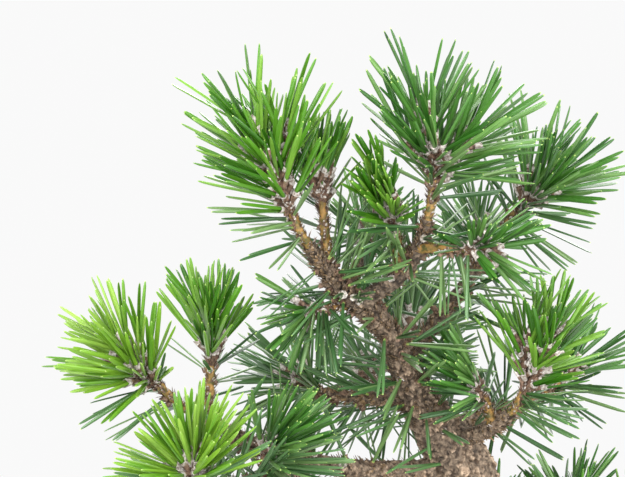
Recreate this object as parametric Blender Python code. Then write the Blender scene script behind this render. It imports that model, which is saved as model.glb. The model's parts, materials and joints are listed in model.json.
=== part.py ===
# Japanese black pine bonsai in a plain clay pot.
# Sizes are in millimetres and turned into metres by MM as each mesh is made.
# Origin: middle of the pot's flat underside. +X is the viewer's right, +Y away, +Z up.
# Headings are azimuths in degrees from +X towards +Y, rises are degrees above level.

import math
from collections import namedtuple

import bmesh
import bpy
import numpy as np

MM = 0.001
GAP = 0.3

# Pot: a rectangle with round corners, a lip round the mouth and a set-back foot
POT_LENGTH = 212.0
POT_WIDTH = 158.0
POT_HEIGHT = 60.0
POT_CORNER = 26.0
POT_CORNER_STEPS = 4
FOOT_HEIGHT = 6.0
FOOT_SET_BACK = 13.0
WALL_LEAN = 5.0
LIP_HEIGHT = 13.0
LIP_DEPTH = 3.5
LIP_WIDTH = 7.5
LIP_ROUND = 1.6
SMALLEST_CORNER = 4.0
FLOOR_THICKNESS = 9.0
FLOOR_FILLET = 6.0
FLOOR_FILLET_INSET = 3.0

# Soil: a low mound with a flat crown that the trunk stands on
SOIL_TOP = 53.0
SOIL_EDGE_DROP = 3.0
SOIL_SLOPE = 30.0

# Trunk: height above the soil, right, away, diameter
TRUNK_BENDS = (
    (0.0, 10.0, 6.0, 43.0),
    (14.0, 13.0, 7.0, 39.0),
    (40.0, 23.0, 10.0, 34.5),
    (70.0, 31.5, 14.0, 31.0),
    (97.0, 31.0, 14.0, 28.0),
    (117.5, 19.0, 8.0, 22.5),
    (133.0, 9.4, 1.0, 17.0),
    (147.0, 2.2, -6.0, 14.0),
    (160.5, -2.2, -12.0, 10.5),
    (174.5, -12.8, -21.0, 10.0),
    (185.5, -25.7, -30.0, 8.8),
    (197.0, -34.4, -38.0, 7.0),
    (207.0, -41.0, -43.0, 5.6),
)
TRUNK_SIDES = 12
TRUNK_STEPS = 2
FLARE = 0.42
FLARE_HEIGHT = 13.0
FLARE_ROOTS = 5

# Each bough is one limb. Its place is a height above the soil on the trunk, or a share of
# the length of another bough. The heading swings by the sweep and lifts by the lift.
Limb = namedtuple("Limb", "parent place azimuth sweep rise lift length base tip")
LIMBS = {
    "bough_left": Limb("trunk", 100, 191, 22, -1, 36, 114, 9.5, 6.0),
    "bough_left_front": Limb("bough_left", 0.44, 236, -8, -6, 16, 68, 5.6, 4.4),
    "bough_right": Limb("trunk", 113, 315, -6, 17, 25, 28, 8.0, 5.4),
    "bough_crown_right": Limb("trunk", 181, 342, -14, 26, 54, 43, 7.4, 5.2),
    "bough_back_right": Limb("trunk", 150, 46, -60, 40, 20, 70, 7.2, 4.8),
    "bough_back_middle": Limb("trunk", 141, 88, 0, 10, 10, 40, 6.0, 4.6),
    "bough_back_low": Limb("trunk", 122, 112, 8, 5, 10, 44, 6.6, 4.6),
    "bough_back_left": Limb("trunk", 136, 138, 10, -10, 14, 42, 6.0, 4.4),
    "bough_back_right_low": Limb("trunk", 120, 40, -8, 2, 14, 52, 6.4, 4.6),
    "bough_top_back": Limb("trunk", 188, 70, 0, 14, 10, 32, 5.2, 4.2),
    "bough_right_low": Limb("trunk", 60, 352, 14, -2, 14, 46, 10.0, 6.0),
    "bough_left_low": Limb("trunk", 44, 170, -8, -4, 10, 84, 11.0, 6.0),
    "bough_back_first": Limb("trunk", 50, 84, 14, -4, 10, 54, 10.0, 6.0),
}
LIMB_SIDES = 7
LIMB_STEPS = 5
COLLAR_SIDES = 6
COLLAR_LENGTH = 2.5
COLLAR_SWELL = 1.35

# Each mass of needles: a stem on its bough's tip or side, which turns to the heading and
# splits into candles. Old is the share of last year's needles, which stand on the stem.
Mass = namedtuple(
    "Mass", "parent place azimuth rise stem candles candle spread turn needle solid old"
)
MASSES = {
    "top_left": Mass("trunk", "tip", 188, 68, 18, 4, 40, 17, 222, 40, 34, 0.20),
    "top_middle": Mass("trunk", 194, 150, 84, 21, 3, 17, 18, 60, 35, 18, 0.25),
    "crown_small": Mass("bough_crown_right", 0.40, 240, 66, 12, 3, 20, 18, 60, 32, 17, 0.25),
    "crown_right": Mass("bough_crown_right", "tip", 80, 87, 20, 5, 26, 44, 222, 42, 40, 0.22),
    "crown_edge": Mass("bough_crown_right", 0.70, 318, 2, 20, 2, 10, 18, 0, 32, 13, 0.30),
    "back_right": Mass("bough_back_right", "tip", 350, 48, 12, 3, 20, 24, 0, 40, 26, 0.25),
    "back_right_side": Mass("bough_back_right", 0.62, 75, 40, 12, 2, 14, 22, 0, 36, 16, 0.25),
    "right": Mass("bough_right", "tip", 330, 68, 12, 4, 32, 18, 20, 35, 28, 0.30),
    "right_inner": Mass("bough_right", 0.55, 214, 66, 9, 2, 8, 26, 150, 33, 15, 0.30),
    "left": Mass("bough_left", "tip", 203, 42, 26, 4, 20, 28, 0, 37, 30, 0.20),
    "left_upper": Mass("bough_left", 0.94, 300, 86, 17, 3, 18, 18, 90, 36, 24, 0.20),
    "left_front": Mass("bough_left_front", "tip", 225, 76, 5, 4, 12, 34, 0, 38, 30, 0.30),
    "left_front_inner": Mass("bough_left_front", 0.40, 290, 80, 6, 3, 10, 26, 0, 40, 20, 0.30),
    "inner_left": Mass("trunk", 181, 195, -8, 8, 2, 6, 30, 0, 34, 14, 0.30),
    "back_middle": Mass("bough_back_middle", "tip", 80, 40, 8, 2, 10, 20, 0, 44, 22, 0.70),
    "back_low": Mass("bough_back_low", "tip", 100, 40, 8, 2, 10, 20, 0, 44, 22, 0.70),
    "back_left": Mass("bough_back_left", "tip", 150, 30, 8, 3, 12, 24, 0, 38, 20, 0.50),
    "back_right_low": Mass("bough_back_right_low", "tip", 40, 36, 10, 3, 14, 24, 0, 36, 20, 0.40),
    "top_back": Mass("bough_top_back", "tip", 90, 36, 10, 3, 14, 24, 0, 32, 20, 0.35),
    "right_low": Mass("bough_right_low", "tip", 5, 30, 10, 3, 16, 26, 0, 36, 22, 0.30),
    "right_low_front": Mass("bough_right_low", 0.45, 300, 20, 12, 3, 14, 26, 0, 34, 18, 0.30),
    "right_low_back": Mass("bough_right_low", 0.62, 75, 40, 12, 3, 14, 26, 0, 36, 18, 0.30),
    "left_low": Mass("bough_left_low", "tip", 175, 20, 12, 3, 18, 26, 0, 36, 22, 0.30),
    "left_low_front": Mass("bough_left_low", 0.55, 245, 14, 16, 3, 16, 26, 0, 34, 18, 0.30),
    "left_low_back": Mass("bough_left_low", 0.70, 95, 18, 16, 3, 16, 26, 0, 36, 18, 0.30),
    "back_first": Mass("bough_back_first", "tip", 95, 20, 12, 4, 18, 28, 0, 36, 22, 0.30),
    "back_first_side": Mass("bough_back_first", 0.60, 40, 18, 14, 3, 16, 26, 0, 34, 18, 0.30),
}
STEM_DIAMETER = 4.2
STEM_SIDES = 5
STEM_TAPER = (1.0, 0.95, 0.85)
KNEE_SHARE = 0.4
CANDLE_DIAMETER = 3.6
CANDLE_SIDES = 3
CANDLE_SHARES = (1.0, 0.86, 0.76, 0.68, 0.62)
CANDLE_STEP = 0.06
CANDLE_RINGS = ((-0.04, 0.85), (0.66, 1.0), (0.88, 0.8), (1.0, 0.25))
LEADER_TILT = 0.3
GOLDEN_ANGLE = 137.508

# Needles: three-sided blades with blunt tips, fewer and thicker than the real ones
NEEDLE_ROOT_RADIUS = 0.8
NEEDLE_TIP_RADIUS = 1.15
NEEDLE_SIDES = 3
NEEDLE_TRIES = 30
NEEDLE_SPACING = 2.6
SPACING_SHARES = (0.2, 0.3, 0.45, 0.6, 0.8, 1.0)
NEW_SPLAY = (54.0, 26.0)
OLD_SPLAY = (98.0, 66.0)
SPLAY_JITTER = 6.0
OLD_STRETCH = (0.15, 1.0)
NEW_STRETCH = (0.10, 0.97)
LENGTH_SHARES = (0.84, 1.04)
SPREAD_STEPS = (0.8191725134, 0.6710436067, 0.5497004779)
FIRST_SEED = 100
SPACE_MARGIN = 3.2
WOOD_MARGIN = 1.8
LOWEST_TIP = SOIL_TOP + 14.0
TEST_SHARES = (0.15, 0.3, 0.45, 0.6, 0.75, 0.88, 1.0)

NEEDLE_GREEN = (0.055, 0.16, 0.03, 1.0)
BARK_BROWN = (0.12, 0.075, 0.045, 1.0)
CLAY_BROWN = (0.16, 0.075, 0.045, 1.0)
SOIL_BROWN = (0.06, 0.042, 0.03, 1.0)


def clear_scene():
    for thing in list(bpy.data.objects):
        bpy.data.objects.remove(thing, do_unlink=True)


def make_material(name, colour, roughness):
    material = bpy.data.materials.new(name)
    material.use_nodes = True
    shader = material.node_tree.nodes["Principled BSDF"]
    shader.inputs["Base Color"].default_value = colour
    shader.inputs["Roughness"].default_value = roughness
    shader.inputs["Metallic"].default_value = 0.0
    material.diffuse_color = colour
    return material


def unit(azimuth, rise):
    """A direction of length one from its azimuth and its rise, both in degrees."""
    a = math.radians(azimuth)
    r = math.radians(rise)
    return np.array([math.cos(r) * math.cos(a), math.cos(r) * math.sin(a), math.sin(r)])


def normalised(vector):
    """The same direction at a length of one."""
    return vector / np.linalg.norm(vector)


def smooth_rows(rows, steps):
    """A Catmull-Rom curve through the rows, with the given steps between each two."""
    rows = np.asarray(rows, float)
    padded = np.vstack([2 * rows[0] - rows[1], rows, 2 * rows[-1] - rows[-2]])
    t = (np.arange(steps) / steps)[:, None]
    pieces = []
    for i in range(1, len(padded) - 2):
        a, b, c, d = padded[i - 1 : i + 3]
        bend = (2 * a - 5 * b + 4 * c - d) * t**2 + (3 * b - a - 3 * c + d) * t**3
        pieces.append(0.5 * (2 * b + (c - a) * t + bend))
    pieces.append(padded[-2][None])
    return np.vstack(pieces)


def trunk_line():
    """The trunk's middle line and its radii, from the cut at the soil to the tip."""
    rows = [(x, y, SOIL_TOP + GAP + height, width / 2) for height, x, y, width in TRUNK_BENDS]
    line = smooth_rows(rows, TRUNK_STEPS)
    return line[:, :3], line[:, 3]


def limb_line(start, limb):
    """Equal steps whose heading turns evenly from the limb's base to its tip."""
    share = (np.arange(LIMB_STEPS) + 0.5) / LIMB_STEPS
    steps = [unit(limb.azimuth + limb.sweep * s, limb.rise + limb.lift * s) for s in share]
    line = np.vstack([start, start + np.cumsum(steps, axis=0) * limb.length / LIMB_STEPS])
    return line, np.linspace(limb.base, limb.tip, LIMB_STEPS + 1) / 2


def point_along(line, radii, place, on_trunk):
    """The point, the radius and the direction of a limb at one place along it."""
    if on_trunk:
        at = float(np.interp(SOIL_TOP + GAP + place, line[:, 2], np.arange(len(line))))
    else:
        at = place * (len(line) - 1)
    i = min(int(at), len(line) - 2)
    w = at - i
    point = line[i] + w * (line[i + 1] - line[i])
    radius = radii[i] + w * (radii[i + 1] - radii[i])
    return point, radius, normalised(line[i + 1] - line[i])


def collar_reach(radius, tangent, heading, width):
    """How far along its heading a collar's flat end clears the side of what carries it."""
    c = abs(float(np.dot(heading, tangent)))
    s = math.sqrt(1 - c * c)
    return (radius + width / 2 * c) / s + COLLAR_LENGTH


def plan_wood():
    """Every limb's line and radii, and the collars that each limb carries."""
    lines = {"trunk": trunk_line()}
    collars = {name: [] for name in ["trunk", *LIMBS]}
    for name, limb in LIMBS.items():
        line, radii = lines[limb.parent]
        point, radius, tangent = point_along(line, radii, limb.place, limb.parent == "trunk")
        heading = unit(limb.azimuth, limb.rise)
        reach = collar_reach(radius, tangent, heading, limb.base)
        collars[limb.parent].append((point, point + heading * reach, limb.base / 2))
        lines[name] = limb_line(point + heading * (reach + GAP), limb)
    return lines, collars


def cross_frame(heading):
    """Two directions square to the heading, the first one towards the viewer's right."""
    guide = np.array([1.0, 0.0, 0.0])
    if abs(heading[0]) > 0.9:
        guide = np.array([0.0, 0.0, 1.0])
    right = normalised(guide - guide.dot(heading) * heading)
    return right, np.cross(heading, right)


def plan_shoots(lines, collars):
    """Each mass's stem, as three points, and its candles, as two points each."""
    shoots = {}
    for name, mass in MASSES.items():
        line, radii = lines[mass.parent]
        heading = unit(mass.azimuth, mass.rise)
        if mass.place == "tip":
            first = normalised(line[-1] - line[-2])
            start = line[-1] + first * GAP
        else:
            point, radius, tangent = point_along(line, radii, mass.place, mass.parent == "trunk")
            first = heading
            reach = collar_reach(radius, tangent, heading, STEM_DIAMETER)
            start = point + first * (reach + GAP)
            collars[mass.parent].append((point, point + first * reach, STEM_DIAMETER / 2))
        knee = start + first * mass.stem * KNEE_SHARE
        top = knee + heading * mass.stem * (1 - KNEE_SHARE)
        right, up = cross_frame(heading)
        shoots[name] = [np.array([start, knee, top])]
        for j in range(mass.candles):
            around = math.radians(mass.turn + j * GOLDEN_ANGLE)
            tilt = math.radians(mass.spread * (LEADER_TILT if j == 0 else 1.0))
            outward = right * math.cos(around) + up * math.sin(around)
            way = heading * math.cos(tilt) + outward * math.sin(tilt)
            root = top - heading * mass.stem * CANDLE_STEP * j
            shoots[name].append(np.array([root, root + way * mass.candle * CANDLE_SHARES[j]]))
    return shoots


def between(ends, share):
    """The value at a share of the way from the first end to the second."""
    return ends[0] + (ends[1] - ends[0]) * share


def propose_needles(mass, shoots, count, seed):
    """Roots and tips of needles, spread evenly by steps of fixed fractions.

    The first fraction says how far along the shoots a needle stands, the second turns
    it round its shoot, and the third sets its length. The splay from the shoot narrows
    towards the shoot's tip, and last year's needles on the stem stand out the most.
    """
    rng = np.random.default_rng(seed)
    offset = rng.random(3)
    index = np.arange(count)
    along, around, size = ((offset[k] + SPREAD_STEPS[k] * index) % 1.0 for k in range(3))
    jitter = rng.normal(size=count) * SPLAY_JITTER
    is_old = along < mass.old

    stem = shoots[0]
    old_share = between(OLD_STRETCH, along / mass.old)
    low = stem[0] + (stem[1] - stem[0]) * (old_share / KNEE_SHARE)[:, None]
    high_share = (old_share - KNEE_SHARE) / (1 - KNEE_SHARE)
    high = stem[1] + (stem[2] - stem[1]) * high_share[:, None]
    old_root = np.where(old_share[:, None] < KNEE_SHARE, low, high)
    old_axis = np.broadcast_to(normalised(stem[2] - stem[1]), old_root.shape)

    starts = np.array([shoot[0] for shoot in shoots[1:]])
    ends = np.array([shoot[1] for shoot in shoots[1:]])
    lengths = np.linalg.norm(ends - starts, axis=1)
    edges = np.concatenate([[0.0], np.cumsum(lengths)]) / lengths.sum()
    place = np.clip((along - mass.old) / (1 - mass.old), 0.0, 0.9999)
    which = np.searchsorted(edges, place, side="right") - 1
    new_share = between(NEW_STRETCH, (place - edges[which]) / (edges[which + 1] - edges[which]))
    new_root = starts[which] + (ends - starts)[which] * new_share[:, None]
    new_axis = ((ends - starts) / lengths[:, None])[which]

    root = np.where(is_old[:, None], old_root, new_root)
    axis = np.where(is_old[:, None], old_axis, new_axis)
    old_splay = between(OLD_SPLAY, old_share)
    new_splay = between(NEW_SPLAY, new_share)
    splay = np.radians(np.where(is_old, old_splay, new_splay) + jitter)[:, None]
    frames = [cross_frame(one) for one in axis]
    turn = (2 * np.pi * around)[:, None]
    right = np.array([frame[0] for frame in frames])
    up = np.array([frame[1] for frame in frames])
    way = axis * np.cos(splay) + (right * np.cos(turn) + up * np.sin(turn)) * np.sin(splay)
    length = mass.needle * between(LENGTH_SHARES, size)
    return root, root + way * length[:, None]


def distance_to(points, a, b):
    """Each point's distance to the straight piece from a to b."""
    ab = b - a
    t = np.clip(((points - a) @ ab) / (ab @ ab), 0.0, 1.0)
    return np.linalg.norm(points - (a + t[..., None] * ab), axis=-1)


def needles_that_fit(name, shoots, lines, collars, root, tip):
    """True for each needle that keeps to its own mass's space and clear of all wood."""
    share = np.array(TEST_SHARES)[None, :, None]
    points = root[:, None] + (tip - root)[:, None] * share
    own = np.full(points.shape[:2], np.inf)
    other = np.full(points.shape[:2], np.inf)
    for mass_name, group in shoots.items():
        for shoot in group:
            for a, b in zip(shoot[:-1], shoot[1:]):
                distance = distance_to(points, a, b)
                if mass_name == name:
                    own = np.minimum(own, distance)
                else:
                    other = np.minimum(other, distance)
    fits = (own + SPACE_MARGIN < other).all(axis=1)
    for line, radii in lines.values():
        for a, b, r in zip(line[:-1], line[1:], radii):
            fits &= (distance_to(points, a, b) > r + WOOD_MARGIN).all(axis=1)
    for group in collars.values():
        for a, b, r in group:
            fits &= (distance_to(points, a, b) > r * COLLAR_SWELL + WOOD_MARGIN).all(axis=1)
    return fits & (tip[:, 2] > LOWEST_TIP)


def evenly_spaced(root, tip, candidates, count):
    """The first needles, in order, whose outer parts stand clear of the ones before."""
    share = np.array(SPACING_SHARES)[:, None]
    chosen = []
    for k in candidates:
        points = root[k] + (tip[k] - root[k]) * share
        nearest = [distance_to(points, root[j], tip[j]).min() for j in chosen]
        if min(nearest, default=np.inf) > NEEDLE_SPACING:
            chosen.append(k)
        if len(chosen) == count:
            break
    return chosen


def ring_frames(line, first=None):
    """A direction and two cross directions for each ring, carried along without a twist."""
    tangents = np.gradient(line, axis=0)
    tangents /= np.linalg.norm(tangents, axis=1)[:, None]
    if first is not None:
        tangents[0] = first
    tangents[-1] = normalised(line[-1] - line[-2])
    right, up = cross_frame(tangents[0])
    frames = [(right, up)]
    for tangent in tangents[1:]:
        right = normalised(right - right.dot(tangent) * tangent)
        frames.append((right, np.cross(tangent, right)))
    return frames


def tube_mesh(name, line, radii, sides, first=None, shape=None):
    """A closed tube of flat-sided rings along a line, with flat ends.

    First, where it is given, is the direction that the first ring is square to. Shape,
    where it is given, is a function of ring and angles that the radius is multiplied by.
    """
    angles = np.arange(sides) * 2 * np.pi / sides
    verts = []
    for i, (right, up) in enumerate(ring_frames(line, first)):
        factor = np.ones(sides) if shape is None else shape(i, angles)
        around = right * np.cos(angles)[:, None] + up * np.sin(angles)[:, None]
        verts.append(line[i] + around * (radii[i] * factor)[:, None])
    faces = [tuple(reversed(range(sides)))]
    for i in range(len(line) - 1):
        for j in range(sides):
            k = (j + 1) % sides
            faces.append((i * sides + j, i * sides + k, (i + 1) * sides + k, (i + 1) * sides + j))
    faces.append(tuple(range((len(line) - 1) * sides, len(line) * sides)))
    mesh = bpy.data.meshes.new(name)
    mesh.from_pydata((np.vstack(verts) * MM).tolist(), [], faces)
    return mesh


def place_object(name, mesh, material, collection=None):
    thing = bpy.data.objects.new(name, mesh)
    (collection or bpy.context.scene.collection).objects.link(thing)
    if material is not None:
        mesh.materials.clear()
        mesh.materials.append(material)
    return thing


def signed_volume(faces):
    total = 0.0
    for face in faces:
        total += face.normal.dot(face.calc_center_median()) * face.calc_area() / 3
    return total


def keep_main_body(mesh):
    """Fills sealed hollows and drops loose scraps, so one closed body is left."""
    bm = bmesh.new()
    bm.from_mesh(mesh)
    bmesh.ops.triangulate(bm, faces=bm.faces)
    left = set(bm.faces)
    bodies = []
    while left:
        queue = [left.pop()]
        body = list(queue)
        while queue:
            for edge in queue.pop().edges:
                for face in edge.link_faces:
                    if face in left:
                        left.remove(face)
                        queue.append(face)
                        body.append(face)
        bodies.append(body)
    bodies.sort(key=signed_volume)
    spare = [face for body in bodies[:-1] for face in body]
    bmesh.ops.delete(bm, geom=spare, context="FACES")
    bm.to_mesh(mesh)
    bm.free()


def fuse(name, first_mesh, other_meshes, material):
    """Joins the meshes by one Boolean union on a collection, applied."""
    thing = place_object(name, first_mesh, None)
    if other_meshes:
        extras = bpy.data.collections.new(name + "_pieces")
        bpy.context.scene.collection.children.link(extras)
        for i, mesh in enumerate(other_meshes):
            place_object(f"{name}_piece_{i}", mesh, None, extras)
        union = thing.modifiers.new("union", "BOOLEAN")
        union.operation = "UNION"
        union.operand_type = "COLLECTION"
        union.collection = extras
        union.solver = "EXACT"
        bpy.context.view_layer.update()
        evaluated = thing.evaluated_get(bpy.context.evaluated_depsgraph_get())
        joined = bpy.data.meshes.new_from_object(evaluated)
        thing.modifiers.clear()
        thing.data = joined
        for extra in list(extras.objects):
            bpy.data.objects.remove(extra, do_unlink=True)
        bpy.data.collections.remove(extras)
    keep_main_body(thing.data)
    thing.data.name = name
    thing.data.materials.clear()
    thing.data.materials.append(material)
    return thing


def collar_meshes(name, collars):
    """Short swollen necks, sunk in their limb, whose flat ends face the next pieces."""
    meshes = []
    for i, (root, end, radius) in enumerate(collars):
        line = np.array([root, end])
        radii = (radius * COLLAR_SWELL, radius)
        meshes.append(tube_mesh(f"{name}_collar_{i}", line, radii, COLLAR_SIDES))
    return meshes


def make_trunk(lines, collars, material):
    """The trunk on its flat cut at the soil, with five roots that flare out at its foot."""
    line, radii = lines["trunk"]
    heights = line[:, 2] - line[0, 2]

    def flare(i, angles):
        falloff = math.exp(-heights[i] / FLARE_HEIGHT)
        lobes = 0.6 + 0.4 * np.cos(FLARE_ROOTS * angles)
        return 1.0 + FLARE * falloff * lobes

    upright = np.array([0.0, 0.0, 1.0])
    body = tube_mesh("trunk", line, radii, TRUNK_SIDES, upright, flare)
    return fuse("trunk", body, collar_meshes("trunk", collars["trunk"]), material)


def make_bough(name, lines, collars, material):
    line, radii = lines[name]
    heading = unit(LIMBS[name].azimuth, LIMBS[name].rise)
    body = tube_mesh(name, line, radii, LIMB_SIDES, heading)
    return fuse(name, body, collar_meshes(name, collars[name]), material)


def candle_mesh(name, shoot):
    """A slim shoot, widest at two thirds, that ends in a bud's point."""
    start, end = shoot
    rings = np.array(CANDLE_RINGS)
    line = start + (end - start) * rings[:, :1]
    radii = CANDLE_DIAMETER / 2 * rings[:, 1]
    return tube_mesh(name, line, radii, CANDLE_SIDES)


def needle_mesh(name, root, tip):
    """One straight blade from inside its shoot to its blunt tip."""
    radii = (NEEDLE_ROOT_RADIUS, NEEDLE_TIP_RADIUS)
    return tube_mesh(name, np.array([root, tip]), radii, NEEDLE_SIDES)


def make_mass(name, number, shoots, lines, collars, material):
    """The stem, its candles and its needles, fused to one solid."""
    mass = MASSES[name]
    tries = mass.solid * NEEDLE_TRIES
    root, tip = propose_needles(mass, shoots[name], tries, FIRST_SEED + number)
    fits = needles_that_fit(name, shoots, lines, collars, root, tip)
    chosen = evenly_spaced(root, tip, np.flatnonzero(fits), mass.solid)
    stem = shoots[name][0]
    radii = STEM_DIAMETER / 2 * np.array(STEM_TAPER)
    first = normalised(stem[1] - stem[0])
    body = tube_mesh(name, stem, radii, STEM_SIDES, first)
    pieces = [candle_mesh(f"{name}_candle_{j}", s) for j, s in enumerate(shoots[name][1:])]
    pieces += [needle_mesh(f"{name}_needle_{k}", root[k], tip[k]) for k in chosen]
    return fuse("needles_" + name, body, pieces, material)


def rounded_loop(inset, z):
    """A rectangle with round corners, set in from the pot's widest outline, at one height."""
    half_x = POT_LENGTH / 2 - inset
    half_y = POT_WIDTH / 2 - inset
    corner = max(POT_CORNER - inset, SMALLEST_CORNER)
    loop = []
    for quarter, (sx, sy) in enumerate(((1, 1), (-1, 1), (-1, -1), (1, -1))):
        for step in range(POT_CORNER_STEPS + 1):
            a = math.radians(90 * (quarter + step / POT_CORNER_STEPS))
            x = sx * (half_x - corner) + corner * math.cos(a)
            y = sy * (half_y - corner) + corner * math.sin(a)
            loop.append((x * MM, y * MM, z * MM))
    return loop


def loops_mesh(name, loops):
    """A closed body from stacked loops, capped flat at the first and the last one."""
    size = len(loops[0])
    verts = [vert for loop in loops for vert in loop]
    faces = [tuple(reversed(range(size)))]
    for i in range(len(loops) - 1):
        for j in range(size):
            k = (j + 1) % size
            faces.append((i * size + j, i * size + k, (i + 1) * size + k, (i + 1) * size + j))
    faces.append(tuple(range((len(loops) - 1) * size, len(loops) * size)))
    mesh = bpy.data.meshes.new(name)
    mesh.from_pydata(verts, [], faces)
    mesh.shade_smooth()
    mesh.set_sharp_from_angle(angle=math.radians(35))
    return mesh


def inner_inset(z):
    """How far the pot's inner wall stands in from the outline at a height."""
    top = POT_HEIGHT - LIP_ROUND
    share = (top - z) / (top - FLOOR_THICKNESS)
    return LIP_WIDTH + (WALL_LEAN + LIP_DEPTH) * share


def make_pot(material):
    """Foot, leaning wall and lip outside, then the mouth and the inner wall to the floor."""
    lip_base = POT_HEIGHT - LIP_HEIGHT
    top = POT_HEIGHT - LIP_ROUND
    fillet_top = FLOOR_THICKNESS + FLOOR_FILLET
    profile = (
        (FOOT_SET_BACK, 0.0),
        (FOOT_SET_BACK, FOOT_HEIGHT - 1.0),
        (FOOT_SET_BACK - 1.5, FOOT_HEIGHT),
        (LIP_DEPTH + WALL_LEAN, FOOT_HEIGHT + 3.0),
        (LIP_DEPTH, lip_base - 2.0),
        (LIP_DEPTH - 0.5, lip_base),
        (LIP_ROUND * 0.4, lip_base),
        (0.0, lip_base + LIP_ROUND),
        (0.0, top),
        (LIP_ROUND * 0.3, POT_HEIGHT - LIP_ROUND * 0.3),
        (LIP_ROUND, POT_HEIGHT),
        (LIP_WIDTH - LIP_ROUND, POT_HEIGHT),
        (LIP_WIDTH, top),
        (inner_inset(fillet_top), fillet_top),
        (inner_inset(FLOOR_THICKNESS) + FLOOR_FILLET_INSET, FLOOR_THICKNESS),
    )
    loops = [rounded_loop(inset, z) for inset, z in profile]
    return place_object("pot", loops_mesh("pot", loops), material)


def make_soil(material):
    """The block of soil inside the pot, a gap clear of its walls, with a low crown."""
    edge = SOIL_TOP - SOIL_EDGE_DROP
    fillet_top = FLOOR_THICKNESS + FLOOR_FILLET
    floor_inset = inner_inset(FLOOR_THICKNESS) + FLOOR_FILLET_INSET
    loops = [
        rounded_loop(floor_inset + GAP, FLOOR_THICKNESS + GAP),
        rounded_loop(inner_inset(fillet_top) + GAP, fillet_top + GAP),
        rounded_loop(inner_inset(edge) + GAP, edge),
        rounded_loop(inner_inset(edge) + SOIL_SLOPE, SOIL_TOP),
    ]
    return place_object("soil", loops_mesh("soil", loops), material)


def main():
    clear_scene()
    bark = make_material("bark", BARK_BROWN, 0.85)
    needle = make_material("needle", NEEDLE_GREEN, 0.4)
    clay = make_material("clay", CLAY_BROWN, 0.7)
    earth = make_material("earth", SOIL_BROWN, 0.95)
    lines, collars = plan_wood()
    shoots = plan_shoots(lines, collars)
    make_pot(clay)
    make_soil(earth)
    make_trunk(lines, collars, bark)
    for name in LIMBS:
        make_bough(name, lines, collars, bark)
    for number, name in enumerate(MASSES):
        make_mass(name, number, shoots, lines, collars, needle)


main()
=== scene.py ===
# %% [markdown]
# A black pine bonsai is a small, old-looking tree: a bent trunk, a few boughs, and stiff paired
# needles that stand on this year's shoots like brushes. It could be sculpted by hand, but a plant
# follows rules, so here each part is a formula on whole arrays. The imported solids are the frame:
# they say where the wood and the masses of needles are, and the fine tree grows in the same place.

# %% Load the frame
import json
import math
from collections import namedtuple

import bpy
import numpy as np
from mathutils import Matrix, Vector

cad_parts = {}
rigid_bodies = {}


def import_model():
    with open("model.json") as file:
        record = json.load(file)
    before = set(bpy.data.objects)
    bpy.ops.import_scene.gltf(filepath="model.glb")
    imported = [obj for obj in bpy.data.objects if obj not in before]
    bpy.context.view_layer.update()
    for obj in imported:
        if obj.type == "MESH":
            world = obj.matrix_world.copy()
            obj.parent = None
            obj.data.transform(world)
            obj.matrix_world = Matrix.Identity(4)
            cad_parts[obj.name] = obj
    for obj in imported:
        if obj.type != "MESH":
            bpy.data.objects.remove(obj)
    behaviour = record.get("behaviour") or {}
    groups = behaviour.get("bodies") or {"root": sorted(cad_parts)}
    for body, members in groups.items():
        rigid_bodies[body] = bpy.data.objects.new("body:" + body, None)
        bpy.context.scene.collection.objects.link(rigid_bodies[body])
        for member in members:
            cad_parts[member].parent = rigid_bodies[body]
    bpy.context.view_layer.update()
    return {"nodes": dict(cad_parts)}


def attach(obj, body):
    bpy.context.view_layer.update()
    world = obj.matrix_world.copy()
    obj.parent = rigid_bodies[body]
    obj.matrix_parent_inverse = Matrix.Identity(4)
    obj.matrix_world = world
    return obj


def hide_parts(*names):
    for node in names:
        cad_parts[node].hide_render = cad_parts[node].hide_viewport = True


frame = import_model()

# Blender counts in metres, and the sizes here are in millimetres
MM = 0.001
# Solids that meet are modelled this far apart
GAP = 0.3
print("solids in the frame:", len(frame["nodes"]))

# %% [markdown]
# All driving sizes are those of the solids, in millimetres, with angles in degrees. The pot comes
# first: a foot, walls that lean out, a lip round the mouth, and the floor under the soil.

# %% Sizes of the pot and its soil
POT_LENGTH, POT_WIDTH, POT_HEIGHT, POT_CORNER = 212.0, 158.0, 60.0, 26.0
FOOT_HEIGHT, FOOT_SET_BACK, WALL_LEAN = 6.0, 13.0, 5.0
LIP_HEIGHT, LIP_DEPTH, LIP_WIDTH, LIP_ROUND = 13.0, 3.5, 7.5, 1.6
FLOOR_THICKNESS, FLOOR_BEND, FLOOR_BEND_INSET = 9.0, 6.0, 3.0
SOIL_TOP, SOIL_EDGE_DROP = 53.0, 3.0
print("pot:", POT_LENGTH, "by", POT_WIDTH, "by", POT_HEIGHT, "mm")

# %% [markdown]
# The trunk is a row of bends, and each bough is one line of numbers: it starts on another limb and
# turns evenly along its length. Its place is a height on the trunk or a share of a bough's length.

# %% Sizes of the trunk and the boughs
# Trunk: height above the soil, right, away, diameter
TRUNK_BENDS = (
    (0.0, 10.0, 6.0, 43.0),
    (14.0, 13.0, 7.0, 39.0),
    (40.0, 23.0, 10.0, 34.5),
    (70.0, 31.5, 14.0, 31.0),
    (97.0, 31.0, 14.0, 28.0),
    (117.5, 19.0, 8.0, 22.5),
    (133.0, 9.4, 1.0, 17.0),
    (147.0, 2.2, -6.0, 14.0),
    (160.5, -2.2, -12.0, 10.5),
    (174.5, -12.8, -21.0, 10.0),
    (185.5, -25.7, -30.0, 8.8),
    (197.0, -34.4, -38.0, 7.0),
    (207.0, -41.0, -43.0, 5.6),
)
FLARE, FLARE_HEIGHT, FLARE_ROOTS = 0.42, 13.0, 5

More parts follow.
